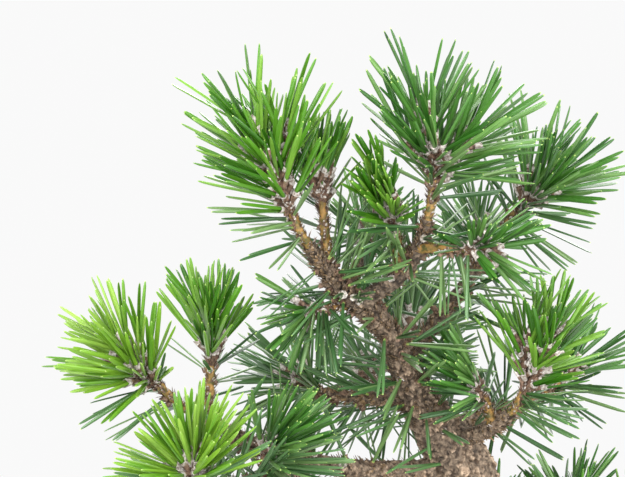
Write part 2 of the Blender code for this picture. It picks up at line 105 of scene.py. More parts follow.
# From base to tip a bough's azimuth turns by sweep and its rise by lift; base and tip are diameters
Limb = namedtuple("Limb", "parent place azimuth sweep rise lift length base tip")
LIMBS = {
    "bough_left": Limb("trunk", 100, 191, 22, -1, 36, 114, 9.5, 6.0),
    "bough_left_front": Limb("bough_left", 0.44, 236, -8, -6, 16, 68, 5.6, 4.4),
    "bough_right": Limb("trunk", 113, 315, -6, 17, 25, 28, 8.0, 5.4),
    "bough_crown_right": Limb("trunk", 181, 342, -14, 26, 54, 43, 7.4, 5.2),
    "bough_back_right": Limb("trunk", 150, 46, -60, 40, 20, 70, 7.2, 4.8),
    "bough_back_middle": Limb("trunk", 141, 88, 0, 10, 10, 40, 6.0, 4.6),
    "bough_back_low": Limb("trunk", 122, 112, 8, 5, 10, 44, 6.6, 4.6),
    "bough_back_left": Limb("trunk", 136, 138, 10, -10, 14, 42, 6.0, 4.4),
    "bough_back_right_low": Limb("trunk", 120, 40, -8, 2, 14, 52, 6.4, 4.6),
    "bough_top_back": Limb("trunk", 188, 70, 0, 14, 10, 32, 5.2, 4.2),
    "bough_right_low": Limb("trunk", 60, 352, 14, -2, 14, 46, 10.0, 6.0),
    "bough_left_low": Limb("trunk", 44, 170, -8, -4, 10, 84, 11.0, 6.0),
    "bough_back_first": Limb("trunk", 50, 84, 14, -4, 10, 54, 10.0, 6.0),
}
TRUNK_STEPS, LIMB_STEPS = 2, 5
COLLAR_LENGTH, COLLAR_SWELL = 2.5, 1.35
print("boughs:", len(LIMBS))

# %% [markdown]
# A mass of needles is a stem that splits into candles, which are this year's upright shoots. The
# candles spread from the stem's own direction, and each is a little shorter than the one before.

# %% Sizes of the masses of needles
# Solid is how many needles the mass has as a solid, old the share of them that is last year's,
# and tint the family of greens that it wears, of which one is painted light and one painted shade
MASS_FIELDS = "parent place azimuth rise stem candles candle spread turn needle solid old tint"
Mass = namedtuple("Mass", MASS_FIELDS)
MASS_ROWS = (
    ("top_left", "trunk", "tip", 188, 68, 18, 4, 40, 17, 222, 40, 34, 0.20, "fresh"),
    ("top_middle", "trunk", 194, 150, 84, 21, 3, 17, 18, 60, 35, 18, 0.25, "fresh"),
    ("crown_small", "bough_crown_right", 0.40, 240, 66, 12, 3, 20, 18, 60, 32, 17, 0.25, "fresh"),
    ("crown_right", "bough_crown_right", "tip", 80, 87, 20, 5, 26, 44, 222, 42, 40, 0.22, "deep"),
    ("crown_edge", "bough_crown_right", 0.70, 318, 2, 20, 2, 10, 18, 0, 32, 13, 0.30, "deep"),
    ("back_right", "bough_back_right", "tip", 350, 48, 12, 3, 20, 24, 0, 40, 26, 0.25, "deep"),
    ("back_right_side", "bough_back_right", 0.62, 75, 40, 12, 2, 14, 22, 0, 36, 16, 0.25, "deep"),
    ("right", "bough_right", "tip", 330, 68, 12, 4, 32, 18, 20, 35, 28, 0.30, "fresh"),
    ("right_inner", "bough_right", 0.55, 214, 66, 9, 2, 8, 26, 150, 33, 15, 0.30, "deep"),
    ("left", "bough_left", "tip", 203, 42, 26, 4, 20, 28, 0, 37, 30, 0.20, "bright"),
    ("left_upper", "bough_left", 0.94, 300, 86, 17, 3, 18, 18, 90, 36, 24, 0.20, "fresh"),
    ("left_front", "bough_left_front", "tip", 225, 76, 5, 4, 12, 34, 0, 38, 30, 0.30, "bright"),
    ("left_front_inner", "bough_left_front", 0.40, 290, 80, 6, 3, 10, 26, 0, 40, 20, 0.30, "deep"),
    ("inner_left", "trunk", 181, 195, -8, 8, 2, 6, 30, 0, 34, 14, 0.30, "deep"),
    ("back_middle", "bough_back_middle", "tip", 80, 40, 8, 2, 10, 20, 0, 44, 22, 0.70, "old"),
    ("back_low", "bough_back_low", "tip", 100, 40, 8, 2, 10, 20, 0, 44, 22, 0.70, "old"),
    ("back_left", "bough_back_left", "tip", 150, 30, 8, 3, 12, 24, 0, 38, 20, 0.50, "old"),
    ("back_right_low", "bough_back_right_low", "tip", 40, 36, 10, 3, 14, 24, 0, 36, 20, 0.4, "deep"),
    ("top_back", "bough_top_back", "tip", 90, 36, 10, 3, 14, 24, 0, 32, 20, 0.35, "deep"),
    ("right_low", "bough_right_low", "tip", 5, 30, 10, 3, 16, 26, 0, 36, 22, 0.30, "fresh"),
    ("right_low_front", "bough_right_low", 0.45, 300, 20, 12, 3, 14, 26, 0, 34, 18, 0.30, "fresh"),
    ("right_low_back", "bough_right_low", 0.62, 75, 40, 12, 3, 14, 26, 0, 36, 18, 0.30, "deep"),
    ("left_low", "bough_left_low", "tip", 175, 20, 12, 3, 18, 26, 0, 36, 22, 0.30, "fresh"),
    ("left_low_front", "bough_left_low", 0.55, 245, 14, 16, 3, 16, 26, 0, 34, 18, 0.30, "fresh"),
    ("left_low_back", "bough_left_low", 0.70, 95, 18, 16, 3, 16, 26, 0, 36, 18, 0.30, "deep"),
    ("back_first", "bough_back_first", "tip", 95, 20, 12, 4, 18, 28, 0, 36, 22, 0.30, "fresh"),
    ("back_first_side", "bough_back_first", 0.60, 40, 18, 14, 3, 16, 26, 0, 34, 18, 0.30, "deep"),
)
MASSES = {name: Mass(*row) for name, *row in MASS_ROWS}
STEM_DIAMETER, CANDLE_DIAMETER = 4.2, 3.6
CANDLE_SHARES = (1.0, 0.86, 0.76, 0.68, 0.62)
LEADER_TILT, GOLDEN_ANGLE = 0.3, 137.508
KNEE_SHARE, CANDLE_STEP, ROOT_DEPTH = 0.4, 0.06, 2.0
print("masses of needles:", len(MASSES))

# %% [markdown]
# A limb is a line of points with a radius at each. The lines here are the same as the solids'
# ones, so that the fine wood lies where the plain wood is. The trunk is a Catmull-Rom curve, which
# passes through its own points, and a bough adds up small steps whose heading turns evenly.


# %% Lines of the wood
def unit(azimuth, rise):
    """A direction of length one from azimuth and rise in degrees."""
    a, r = math.radians(azimuth), math.radians(rise)
    return np.array([math.cos(r) * math.cos(a), math.cos(r) * math.sin(a), math.sin(r)])


def normalised(v):
    """Each vector over its own length."""
    return v / np.linalg.norm(v, axis=-1, keepdims=True)


def between(span, share):
    """The span's first value, plus the share of the way to its second."""
    return span[0] + (span[1] - span[0]) * share


def smooth_rows(rows, steps):
    """Catmull-Rom: between b and c, b plus t, t squared and t cubed times the neighbours' mix."""
    rows = np.asarray(rows, float)
    padded = np.vstack([2 * rows[0] - rows[1], rows, 2 * rows[-1] - rows[-2]])
    t = (np.arange(steps) / steps)[None, :, None]
    a, b, c, d = (padded[k : len(padded) - 3 + k][:, None] for k in range(4))
    bend = (2 * a - 5 * b + 4 * c - d) * t**2 + (3 * b - a - 3 * c + d) * t**3
    curve = 0.5 * (2 * b + (c - a) * t + bend)
    return np.vstack([curve.reshape(-1, rows.shape[1]), padded[-2]])


def trunk_line(steps):
    """The trunk's bends, smoothed, as points and radii."""
    rows = [(x, y, SOIL_TOP + GAP + height, width / 2) for height, x, y, width in TRUNK_BENDS]
    line = smooth_rows(rows, steps)
    return line[:, :3], line[:, 3]


def limb_line(start, limb):
    """Equal steps whose heading turns evenly from the limb's base to its tip."""
    share = (np.arange(LIMB_STEPS) + 0.5) / LIMB_STEPS
    steps = [unit(limb.azimuth + limb.sweep * s, limb.rise + limb.lift * s) for s in share]
    line = np.vstack([start, start + np.cumsum(steps, axis=0) * limb.length / LIMB_STEPS])
    return line, np.linspace(limb.base, limb.tip, LIMB_STEPS + 1) / 2


lines, roots, collars = {"trunk": trunk_line(TRUNK_STEPS)}, {}, []
print("points on the trunk's line:", len(lines["trunk"][0]))

# %% [markdown]
# A bough springs from a point on its parent's line and comes out through the parent's bark at a
# slant, so its own line starts further out than the parent's radius. The same sum places the stems
# that grow from the side of a limb.


# %% Boughs on their limbs
def spring(parent, place, heading, width):
    """A side piece's root on its limb's line, and its start where it comes clear of the limb.

    It comes clear after the limb's radius plus its own half width times the cosine, over the sine
    of the angle between the two, and then a collar's length.
    """
    line, radii = lines[parent]
    if parent == "trunk":
        at = float(np.interp(SOIL_TOP + GAP + place, line[:, 2], np.arange(len(line))))
    else:
        at = place * (len(line) - 1)
    i = min(int(at), len(line) - 2)
    root, radius = (between(values[i : i + 2], at - i) for values in (line, radii))
    cosine = abs(float(np.dot(heading, normalised(line[i + 1] - line[i]))))
    reach = (radius + width / 2 * cosine) / math.sqrt(1 - cosine * cosine) + COLLAR_LENGTH
    collars.append((root, root + heading * reach, width / 2))
    return root, root + heading * (reach + GAP)


for name, limb in LIMBS.items():
    heading = unit(limb.azimuth, limb.rise)
    roots[name], start = spring(limb.parent, limb.place, heading, limb.base)
    lines[name] = limb_line(start, limb)
print("limbs planned:", len(lines))

# %% [markdown]
# Each mass hangs on its bough's tip or side. Its stem bends once, then candles leave its top at
# the golden angle, as real whorls nearly do, the first one almost straight on.


# %% Shoots of every mass
SIDEWAYS = 0.9


def cross_frame(heading):
    """Two directions square to each heading: what is left of rightwards, and their cross product.

    A heading that itself runs nearly sideways takes upwards in place of rightwards.
    """
    heading = np.atleast_2d(heading)
    is_sideways = np.abs(heading[:, :1]) > SIDEWAYS
    guide = np.where(is_sideways, [[0.0, 0.0, 1.0]], [[1.0, 0.0, 0.0]])
    right = normalised(guide - (guide * heading).sum(1, keepdims=True) * heading)
    return right, np.cross(heading, right)


def plan_shoots():
    """Each mass's stem, as three points, and its candles, as two points each."""
    shoots = {}
    for name, mass in MASSES.items():
        heading = unit(mass.azimuth, mass.rise)
        if mass.place == "tip":
            before, tip = lines[mass.parent][0][-2:]
            first = normalised(tip - before)
            start, roots[name] = tip + first * GAP, tip - first * ROOT_DEPTH
        else:
            first = heading
            roots[name], start = spring(mass.parent, mass.place, heading, STEM_DIAMETER)
        knee = start + first * mass.stem * KNEE_SHARE
        top = knee + heading * mass.stem * (1 - KNEE_SHARE)
        right, up = (side[0] for side in cross_frame(heading))
        shoots[name] = [np.array([start, knee, top])]
        for j in range(mass.candles):
            around = math.radians(mass.turn + j * GOLDEN_ANGLE)
            tilt = math.radians(mass.spread * (LEADER_TILT if j == 0 else 1.0))
            outward = right * math.cos(around) + up * math.sin(around)
            way = heading * math.cos(tilt) + outward * math.sin(tilt)
            root = top - heading * mass.stem * CANDLE_STEP * j
            shoots[name].append(np.array([root, root + way * mass.candle * CANDLE_SHARES[j]]))
    return shoots


shoots = plan_shoots()
print("candles:", sum(mass.candles for mass in MASSES.values()))

# %% [markdown]
# Every finish needs the same thing: two colours that mix in soft blotches, and a fine grain that
# roughens the surface. A node group holds that once, with named inputs, so each material is a few
# numbers. The shader itself stays in the material, where an exporter can read it.


# %% Mottled finish as a node group
BLOTCH_EDGES = (0.36, 0.64)
BUMP_DISTANCE = 0.0004
# A mix node keeps its two colours in these inputs, and the mixed one in this output
MIX_LOW, MIX_HIGH, MIX_RESULT = 6, 7, 2


def build_mottle():
    """Light over dark by soft noise, and a bump by finer noise."""
    group = bpy.data.node_groups.new("mottle", "ShaderNodeTree")
    socket = group.interface.new_socket
    for label in ("Dark", "Light"):
        socket(label, in_out="INPUT", socket_type="NodeSocketColor")
    for label in ("Blotch", "Grain", "Depth"):
        socket(label, in_out="INPUT", socket_type="NodeSocketFloat")
    socket("Color", in_out="OUTPUT", socket_type="NodeSocketColor")
    socket("Normal", in_out="OUTPUT", socket_type="NodeSocketVector")
    make, link = group.nodes.new, group.links.new
    source, sink = make("NodeGroupInput"), make("NodeGroupOutput")
    place = make("ShaderNodeTexCoord")
    blotch, grain = make("ShaderNodeTexNoise"), make("ShaderNodeTexNoise")
    blotch.inputs["Detail"].default_value = 4.0
    grain.inputs["Detail"].default_value = 6.0
    for noise, label in ((blotch, "Blotch"), (grain, "Grain")):
        link(place.outputs["Object"], noise.inputs["Vector"])
        link(source.outputs[label], noise.inputs["Scale"])
    spread = make("ShaderNodeMapRange")
    for label, value in zip(("From Min", "From Max"), BLOTCH_EDGES):
        spread.inputs[label].default_value = value
    mix = make("ShaderNodeMix")
    mix.data_type = "RGBA"
    bump = make("ShaderNodeBump")
    bump.inputs["Distance"].default_value = BUMP_DISTANCE
    link(blotch.outputs["Fac"], spread.inputs["Value"])
    link(spread.outputs["Result"], mix.inputs["Factor"])
    link(source.outputs["Dark"], mix.inputs[MIX_LOW])
    link(source.outputs["Light"], mix.inputs[MIX_HIGH])
    link(grain.outputs["Fac"], bump.inputs["Height"])
    link(source.outputs["Depth"], bump.inputs["Strength"])
    link(mix.outputs[MIX_RESULT], sink.inputs["Color"])
    link(bump.outputs["Normal"], sink.inputs["Normal"])
    return group


mottle = build_mottle()
print("nodes in the group:", len(mottle.nodes))

# %% [markdown]
# A material is the group's colour and normal on a Principled shader, with a roughness of its own.
# An attribute of the mesh can also multiply its colour: the bark's does, with painted shade in its
# cracks.


# %% Materials of wood, clay and soil
def finish(name, dark, light, blotch, grain, depth, roughness, tone_and_shade_by=None, specular=0.5):
    """A mottled material. A mesh attribute, if one is named, multiplies its colour: the bark's holds
    plate tones and painted shade.
    """
    material = bpy.data.materials.new(name)
    material.use_nodes = True
    tree = material.node_tree
    shader = tree.nodes["Principled BSDF"]
    shader.inputs["Roughness"].default_value = roughness
    shader.inputs["Specular IOR Level"].default_value = specular
    node = tree.nodes.new("ShaderNodeGroup")
    node.node_tree = mottle
    node.inputs["Dark"].default_value = (*dark, 1.0)
    node.inputs["Light"].default_value = (*light, 1.0)
    for label, value in (("Blotch", blotch), ("Grain", grain), ("Depth", depth)):
        node.inputs[label].default_value = value
    colour = node.outputs["Color"]
    if tone_and_shade_by:
        attribute = tree.nodes.new("ShaderNodeAttribute")
        attribute.attribute_name = tone_and_shade_by
        shade = tree.nodes.new("ShaderNodeMix")
        shade.data_type = "RGBA"
        shade.blend_type = "MULTIPLY"
        shade.inputs["Factor"].default_value = 1.0
        tree.links.new(colour, shade.inputs[MIX_LOW])
        tree.links.new(attribute.outputs["Color"], shade.inputs[MIX_HIGH])
        colour = shade.outputs[MIX_RESULT]
    tree.links.new(colour, shader.inputs["Base Color"])
    tree.links.new(node.outputs["Normal"], shader.inputs["Normal"])
    return material


# Dark and light colour, blotches and grains in a metre, the grain's depth, and the roughness
bark = finish("bark", (0.08, 0.046, 0.024), (0.45, 0.33, 0.23), 420, 1300, 0.9, 0.85, "plate_tone_and_painted_shade")
twig_bark = finish("twig_bark", (0.05, 0.028, 0.012), (0.30, 0.19, 0.09), 520, 1500, 0.8, 0.75)
shoot_skin = finish("shoot_skin", (0.062, 0.062, 0.012), (0.33, 0.18, 0.045), 420, 1500, 0.8, 0.6)
candle_skin = finish("candle_skin", (0.035, 0.016, 0.01), (0.17, 0.09, 0.055), 600, 1800, 0.5, 0.7)
sheath_brown = finish(
    "sheath_brown", (0.045, 0.022, 0.012), (0.24, 0.15, 0.10), 700, 2200, 0.4, 0.7
)
sheath_pale = finish("sheath_pale", (0.22, 0.17, 0.14), (0.66, 0.62, 0.58), 900, 2400, 0.3, 0.8)
clay = finish("clay", (0.10, 0.045, 0.028), (0.17, 0.082, 0.052), 60, 2600, 0.35, 0.62)
flake_skin = finish("flake_skin", (0.10, 0.06, 0.035), (0.40, 0.29, 0.19), 500, 1500, 0.8, 0.85)
earth = finish("earth", (0.03, 0.02, 0.013), (0.085, 0.058, 0.036), 300, 1500, 0.8, 0.95)
grain_tan = finish("grain_tan", (0.24, 0.12, 0.05), (0.42, 0.25, 0.12), 500, 2500, 0.5, 0.9)
grain_grey = finish("grain_grey", (0.06, 0.055, 0.05), (0.17, 0.16, 0.15), 500, 2500, 0.5, 0.9)
print("materials, with the solids' own:", len(bpy.data.materials))

# %% [markdown]
# Each mass wears one family of three greens, dealt out among its needles by chance. The shoots at
# the left are brightest, by painted light, those at the crown's right and inside deeper, by painted
# shade, and last year's needles dull and bluer. The foot of a needle is yellower, and so is its
# blunt tip.

# %% Needle greens
# The first family is a green with painted light, the third a green with painted shade
GREENS = {
    "bright": ((0.105, 0.23, 0.016), (0.15, 0.285, 0.035), (0.066, 0.18, 0.01)),
    "fresh": ((0.047, 0.15, 0.008), (0.088, 0.205, 0.02), (0.021, 0.092, 0.003)),
    "deep": ((0.034, 0.115, 0.014), (0.07, 0.165, 0.034), (0.016, 0.074, 0.006)),
    "old": ((0.048, 0.118, 0.034), (0.088, 0.168, 0.052), (0.024, 0.074, 0.018)),
}
LIGHTER = (1.3, 1.18, 1.25)
NEEDLE_ROUGHNESS, NEEDLE_SPECULAR = 0.32, 0.4
greens = {family: [] for family in GREENS}
for family, tones in GREENS.items():
    for number, tone in enumerate(tones):
        lighter = tuple(c * more for c, more in zip(tone, LIGHTER))
        look = (tone, lighter, 90, 2600, 0.12, NEEDLE_ROUGHNESS)
        green = finish(f"needle_{family}_{number}", *look, specular=NEEDLE_SPECULAR)
        greens[family].append(green)
needle_foot = finish("needle_foot", (0.25, 0.36, 0.07), (0.42, 0.50, 0.16), 200, 2600, 0.1, 0.4)
needle_tip = finish("needle_tip", (0.17, 0.30, 0.05), (0.33, 0.42, 0.12), 200, 2600, 0.1, 0.4)
print("greens:", sum(len(tones) for tones in greens.values()))

# %% [markdown]
# Many small closed tubes make most of this tree: a needle, a sheath, a scale and a twig are each a
# stack of rings. So one function takes an array of rings, count by rings by sides by three, and
# writes the whole mesh at once. Its faces run round the side, and both ends are closed.


# %% Rings to mesh
def full_turn(sides):
    """Equal angles once round, in radians."""
    return np.arange(sides) * 2 * np.pi / sides


def turned(right, up, angle):
    """Right times each angle's cosine plus up times its sine, for each point."""
    cosine, sine = np.cos(angle)[None, :, None], np.sin(angle)[None, :, None]
    return right[:, None] * cosine + up[:, None] * sine


def tube_faces(count, rings, sides):
    """Side quads, then both end caps, as arrays of vertex numbers."""
    first = (np.arange(count) * rings * sides)[:, None, None]
    low = first + (np.arange(rings - 1) * sides)[None, :, None]
    j = np.arange(sides)
    k = (j + 1) % sides
    quads = np.stack([low + j, low + k, low + sides + k, low + sides + j], axis=-1)
    return quads.reshape(-1, 4), first[:, 0] + j[::-1], first[:, 0] + (rings - 1) * sides + j


def put_tubes(name, points, materials, tones=None, sharp=60):
    """A mesh of closed tubes from points in millimetres, count by rings by sides by three.

    Tones says which material each band between two rings has.
    """
    count, rings, sides = points.shape[:3]
    if tones is None:
        tones = np.zeros((count, rings - 1), int)
    faces = tube_faces(count, rings, sides)
    corners = np.concatenate([numbers.ravel() for numbers in faces])
    sizes = np.repeat([4, sides], [len(faces[0]), 2 * count])
    starts = np.concatenate([[0], np.cumsum(sizes)[:-1]])
    kinds = np.concatenate([np.repeat(tones.ravel(), sides), tones[:, 0], tones[:, -1]])
    mesh = bpy.data.meshes.new(name)
    mesh.vertices.add(count * rings * sides)
    mesh.vertices.foreach_set("co", (points * MM).astype(np.float32).ravel())
    mesh.loops.add(len(corners))
    mesh.loops.foreach_set("vertex_index", corners.astype(np.int32))
    mesh.polygons.add(len(sizes))
    mesh.polygons.foreach_set("loop_start", starts.astype(np.int32))
    for material in materials:
        mesh.materials.append(material)
    mesh.polygons.foreach_set("material_index", kinds.astype(np.int32))
    mesh.update(calc_edges=True)
    mesh.shade_smooth()
    mesh.set_sharp_from_angle(angle=math.radians(sharp))
    piece = bpy.data.objects.new(name, mesh)
    bpy.context.scene.collection.objects.link(piece)
    return piece


print("faces of a tube with four rings of five:", sum(map(len, tube_faces(1, 4, 5))))

# %% [markdown]
# Nothing on this tree moves by itself, so every piece rides on the one body. A piece also names
# the solids that it is shown instead of.


# %% What each piece stands for
def wear(piece, slot, *nodes):
    """The piece rides on the one body and stands for its solids. The slot is not used."""
    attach(piece, "root")
    if nodes:
        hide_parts(*nodes)
    return piece


# %% [markdown]
# Old pine bark breaks into plates with cracks between them. Cell noise gives just that: each
# point belongs to its nearest seed, and where the nearest two are equally far there is a crack.
# The plates lift the surface in real depth, which shows at the outline, not only in shading.


# %% Plates and cracks
# Slow and fast waves: how far they move a point, in plates, and how closely they follow
WAVES = ((0.42, 1.9), (0.2, 4.7))


def hashed(cells, seed):
    """Each cell's coordinates times large numbers, mixed by shifts, as one number from 0 to 1."""
    h = cells[..., 0] * 374761393 + cells[..., 1] * 668265263 + cells[..., 2] * 2147483629
    h = (h + seed * 1442695041) & 0xFFFFFFFF
    h = ((h ^ (h >> 13)) * 1274126177) & 0xFFFFFFFF
    h = ((h ^ (h >> 15)) * 2246822519) & 0xFFFFFFFF
    return (h ^ (h >> 16)).astype(float) / 0xFFFFFFFF


def plates(points, size, seed):
    """The second nearest seed's distance less the nearest one's, and the nearest one's number."""
    scaled = points / size
    base = np.floor(scaled).astype(np.int64)
    best = np.full((3,) + scaled.shape[:-1], np.inf)
    for offset in np.ndindex(3, 3, 3):
        cell = base + np.array(offset) - 1
        jitter = np.stack([hashed(cell, seed + k) for k in range(3)], axis=-1)
        distance = np.linalg.norm(cell + jitter - scaled, axis=-1)
        nearer = distance < best[0]
        best[1] = np.where(nearer, best[0], np.minimum(best[1], distance))
        best[2] = np.where(nearer, hashed(cell, seed + 7), best[2])
        best[0] = np.where(nearer, distance, best[0])
    return best[1] - best[0], best[2]


def warped(points, size):
    """Points moved by sines of their other coordinates, so that no crack runs straight."""
    (slow, slow_pace), (fast, fast_pace) = WAVES
    slow = slow * size * np.sin(points[..., [1, 2, 0]] / size * slow_pace + [0.0, 1.0, 2.0])
    fast = fast * size * np.sin(points[..., [2, 0, 1]] / size * fast_pace + [3.0, 4.0, 5.0])
    return points + slow + fast


def soft_step(value, low, high):
    """Three t squared minus two t cubed, with t going from 0 to 1 between low and high."""
    t = np.clip((value - low) / (high - low), 0, 1)
    return t * t * (3 - 2 * t)


print("distance to a crack and plate's number:", np.round(plates(np.zeros((1, 3)), 1, 3), 2).ravel())

# %% [markdown]
# The wood is a tube along each limb's smoothed line, at equal steps. Its rings carry their cross
# directions along without a twist: each is the last one, less what of it points along the line.

# %% Fine lines and their frames
SMOOTH_STEPS = 12


def carried_frames(line):
    """Directions square to the line at each point, each turned as little as it can be."""
    tangents = normalised(np.gradient(line, axis=0))
    right = cross_frame(tangents[0])[0][0]
    rights = []
    for tangent in tangents:
        right = normalised(right - right.dot(tangent) * tangent)
        rights.append(right)
    rights = np.array(rights)
    return rights, np.cross(tangents, rights)


def resample(line, radii, step):
    """Points at equal steps along a smooth curve through the line's own points."""
    rows = smooth_rows(np.column_stack([line, radii]), SMOOTH_STEPS)
    run = np.concatenate([[0], np.cumsum(np.linalg.norm(np.diff(rows[:, :3], axis=0), axis=1))])
    at = np.linspace(0, run[-1], max(int(run[-1] / step), 4))
    out = np.column_stack([np.interp(at, run, rows[:, k]) for k in range(4)])
    return out[:, :3], out[:, 3], at


print("length of the trunk's line:", round(float(resample(*lines["trunk"], 1.0)[2][-1])), "mm")

# %% [markdown]
# Each ring's radius follows the limb's taper, at the foot the root flare, and the lift of plates,
# flakes and crumbs. At its root a bough runs into its parent and swells there, so no seam shows.

# %% Bark on trunk and boughs
# Heights and how pale the bark is there: darker higher up
BARK_TONE_BY_HEIGHT = ((150.0, 235.0, 300.0), (1.0, 0.68, 0.5))
# Plates, flakes and crumbs: size beside a plate's, and a scale of height that draws them out
BARK_LAYERS = ((1.0, 0.5), (0.52, 0.7), (0.2, 1.0))
PLATE_LIFT, FLAKE_LIFT, CRUMB_LIFT, MEAN_LIFT = 0.75, 0.6, 0.3, 0.75
BARK_STEP, END_FADE = 0.55, 4.0


def bark_tube(name, line, radii, sides, plate, depth, seed, flare=None):
    """Radius times the flare, plus the lift of plates, flakes and crumbs, round a limb's line."""
    line, radii, run = resample(line, radii, BARK_STEP)
    angle = full_turn(sides)
    out = turned(*carried_frames(line), angle)
    wide = np.repeat(radii[:, None], sides, axis=1)
    if flare is not None:
        wide = wide * flare(line, angle)
    skin = line[:, None] + out * wide[..., None]
    bent = warped(skin, plate)
    (crack, tint), (flake, flake_tint), (_, crumb_tint) = (
        plates(bent * [1, 1, height], plate * size, seed + 20 * k)
        for k, (size, height) in enumerate(BARK_LAYERS)
    )
    lift = PLATE_LIFT * soft_step(crack, 0.0, 0.34) * (0.3 + 1.1 * tint)
    lift = lift + FLAKE_LIFT * soft_step(flake, 0, 0.3) * (0.3 + flake_tint)
    lift = lift + CRUMB_LIFT * crumb_tint
    ends = np.minimum(1, (run[-1] - run) / END_FADE)[:, None]
    skin = skin + out * ((lift - MEAN_LIFT) * depth * ends)[..., None]
    piece = put_tubes(name, skin[None], [bark], sharp=80)
    # Painted shade in the cracks between plates and flakes, and a tone of its own for each plate,
    # flake and crumb
    shade = (0.5 + 0.5 * soft_step(crack, 0.0, 0.2)) * (0.6 + 0.4 * soft_step(flake, 0, 0.25))
    shade = shade * (0.5 + 0.6 * flake_tint) * (0.7 + 0.45 * tint) * (0.85 + 0.3 * crumb_tint)
    # Darker higher up
    shade = shade * np.interp(line[:, 2], *BARK_TONE_BY_HEIGHT)[:, None]
    colour = np.ones((shade.size, 4), np.float32)
    colour[:, :3] = shade.ravel()[:, None]
    # Plate tones and painted shade go into a colour attribute, which the bark's material multiplies
    # by
    layer = piece.data.color_attributes.new("plate_tone_and_painted_shade", "FLOAT_COLOR", "POINT")
    layer.data.foreach_set("color", colour.ravel())
    return piece


print("rings in a centimetre of bark:", round(10 / BARK_STEP))

# %% [markdown]
# The trunk's foot spreads into the roots that hold it, so its radius grows there in five places
# round it. Its plates are twice as wide as the boughs', and it has more points round it.


# %% Trunk and boughs in their bark
def root_flare(line, angle):
    """Five buttresses that fade upwards by an exponential."""
    fall = np.exp(-(line[:, 2] - line[0, 2]) / FLARE_HEIGHT)[:, None]
    return 1 + FLARE * fall * (0.6 + 0.4 * np.cos(FLARE_ROOTS * angle))[None]


look = {"sides": 150, "plate": 4.4, "depth": 1.5, "seed": 3, "flare": root_flare}
trunk = bark_tube("trunk_bark", *lines["trunk"], **look)
wear(trunk, "bark", "trunk")
for number, name in enumerate(LIMBS):
    line, radii = lines[name]
    line = np.vstack([roots[name], line])
    radii = np.concatenate([[radii[0] * COLLAR_SWELL], radii])
    look = {"sides": 44, "plate": 2.2, "depth": 0.8, "seed": 40 + number}
    wear(bark_tube(name + "_bark", line, radii, **look), "bark", name)
print("bark faces on the trunk:", len(trunk.data.polygons))

# %% [markdown]
# Needles are placed by the solids' own rule, with more of them: steps of fixed fractions spread
# them evenly along the shoots and round them, and the splay narrows towards each shoot's tip.

# %% The rule that places needles
FIRST_SEED = 100
NEW_SPLAY, OLD_SPLAY, SPLAY_JITTER = (54.0, 26.0), (98.0, 66.0), 6.0
# Where needles start on a stem and on a candle, and the share of it that they cover
OLD_START, OLD_RUN, NEW_START, NEW_RUN = 0.15, 0.85, 0.10, 0.87
JUST_UNDER_ONE = 0.9999
LENGTH_SHARES = (0.84, 1.04)
SPREAD_STEPS = (0.8191725134, 0.6710436067, 0.5497004779)


def propose_needles(mass, group, count, seed):
    """Roots, shoot directions and tips of needle pairs, and which are last year's.

    The place along the shoots, the turn round them and the length are each the fraction of a
    chance offset plus the needle's number times a fixed step.
    """
    rng = np.random.default_rng(seed)
    offset = rng.random(3)
    index = np.arange(count)
    along, around, size = ((offset[k] + SPREAD_STEPS[k] * index) % 1.0 for k in range(3))
    jitter = rng.normal(size=count) * SPLAY_JITTER
    is_old = along < mass.old
    stem = group[0]
    old_share = OLD_START + OLD_RUN * along / mass.old
    low = between(stem[:2], (old_share / KNEE_SHARE)[:, None])
    high = between(stem[1:], ((old_share - KNEE_SHARE) / (1 - KNEE_SHARE))[:, None])
    old_root = np.where(old_share[:, None] < KNEE_SHARE, low, high)
    old_axis = np.broadcast_to(normalised(stem[2] - stem[1]), old_root.shape)
    candles = np.array(group[1:])
    starts, ends = candles[:, 0], candles[:, 1]
    lengths = np.linalg.norm(ends - starts, axis=1)
    edges = np.concatenate([[0.0], np.cumsum(lengths)]) / lengths.sum()
    place = np.clip((along - mass.old) / (1 - mass.old), 0.0, JUST_UNDER_ONE)
    which = np.searchsorted(edges, place, side="right") - 1
    reach = (place - edges[which]) / (edges[which + 1] - edges[which])
    new_share = NEW_START + NEW_RUN * reach
    new_root = between((starts[which], ends[which]), new_share[:, None])
    new_axis = ((ends - starts) / lengths[:, None])[which]
    root = np.where(is_old[:, None], old_root, new_root)
    axis = np.where(is_old[:, None], old_axis, new_axis)
    splay = np.where(is_old, between(OLD_SPLAY, old_share), between(NEW_SPLAY, new_share))
    splay = np.radians(splay + jitter)[:, None]
    right, up = cross_frame(axis)
    turn = (2 * np.pi * around)[:, None]
    way = axis * np.cos(splay) + (right * np.cos(turn) + up * np.sin(turn)) * np.sin(splay)
    length = mass.needle * between(LENGTH_SHARES, size)
    return root, axis, root + way * length[:, None], is_old


proposed = propose_needles(MASSES["left"], shoots["left"], 50, FIRST_SEED)
print("last year's among fifty at the left:", int(proposed[3].sum()))

# %% [markdown]
# A needle that would leave its mass's space or meet wood is skipped, as on the solids. So it is
# tested at seven places along it, and many more are proposed than are wanted.

# %% Needles that fit
SPACE_MARGIN, WOOD_MARGIN = 1.2, 1.0
LOWEST_TIP = SOIL_TOP + 12.0
TEST_SHARES = np.array([0.15, 0.3, 0.45, 0.6, 0.75, 0.88, 1.0])


def distance_to(points, a, b):
    """Each point's distance to the straight piece from a to b."""
    ab = b - a
    t = np.clip(((points - a) @ ab) / (ab @ ab), 0.0, 1.0)
    return np.linalg.norm(points - (a + t[..., None] * ab), axis=-1)


def test_points(root, tip):
    """Root plus each test share of the way to the tip, for each needle."""
    return root[:, None] + (tip - root)[:, None] * TEST_SHARES[None, :, None]


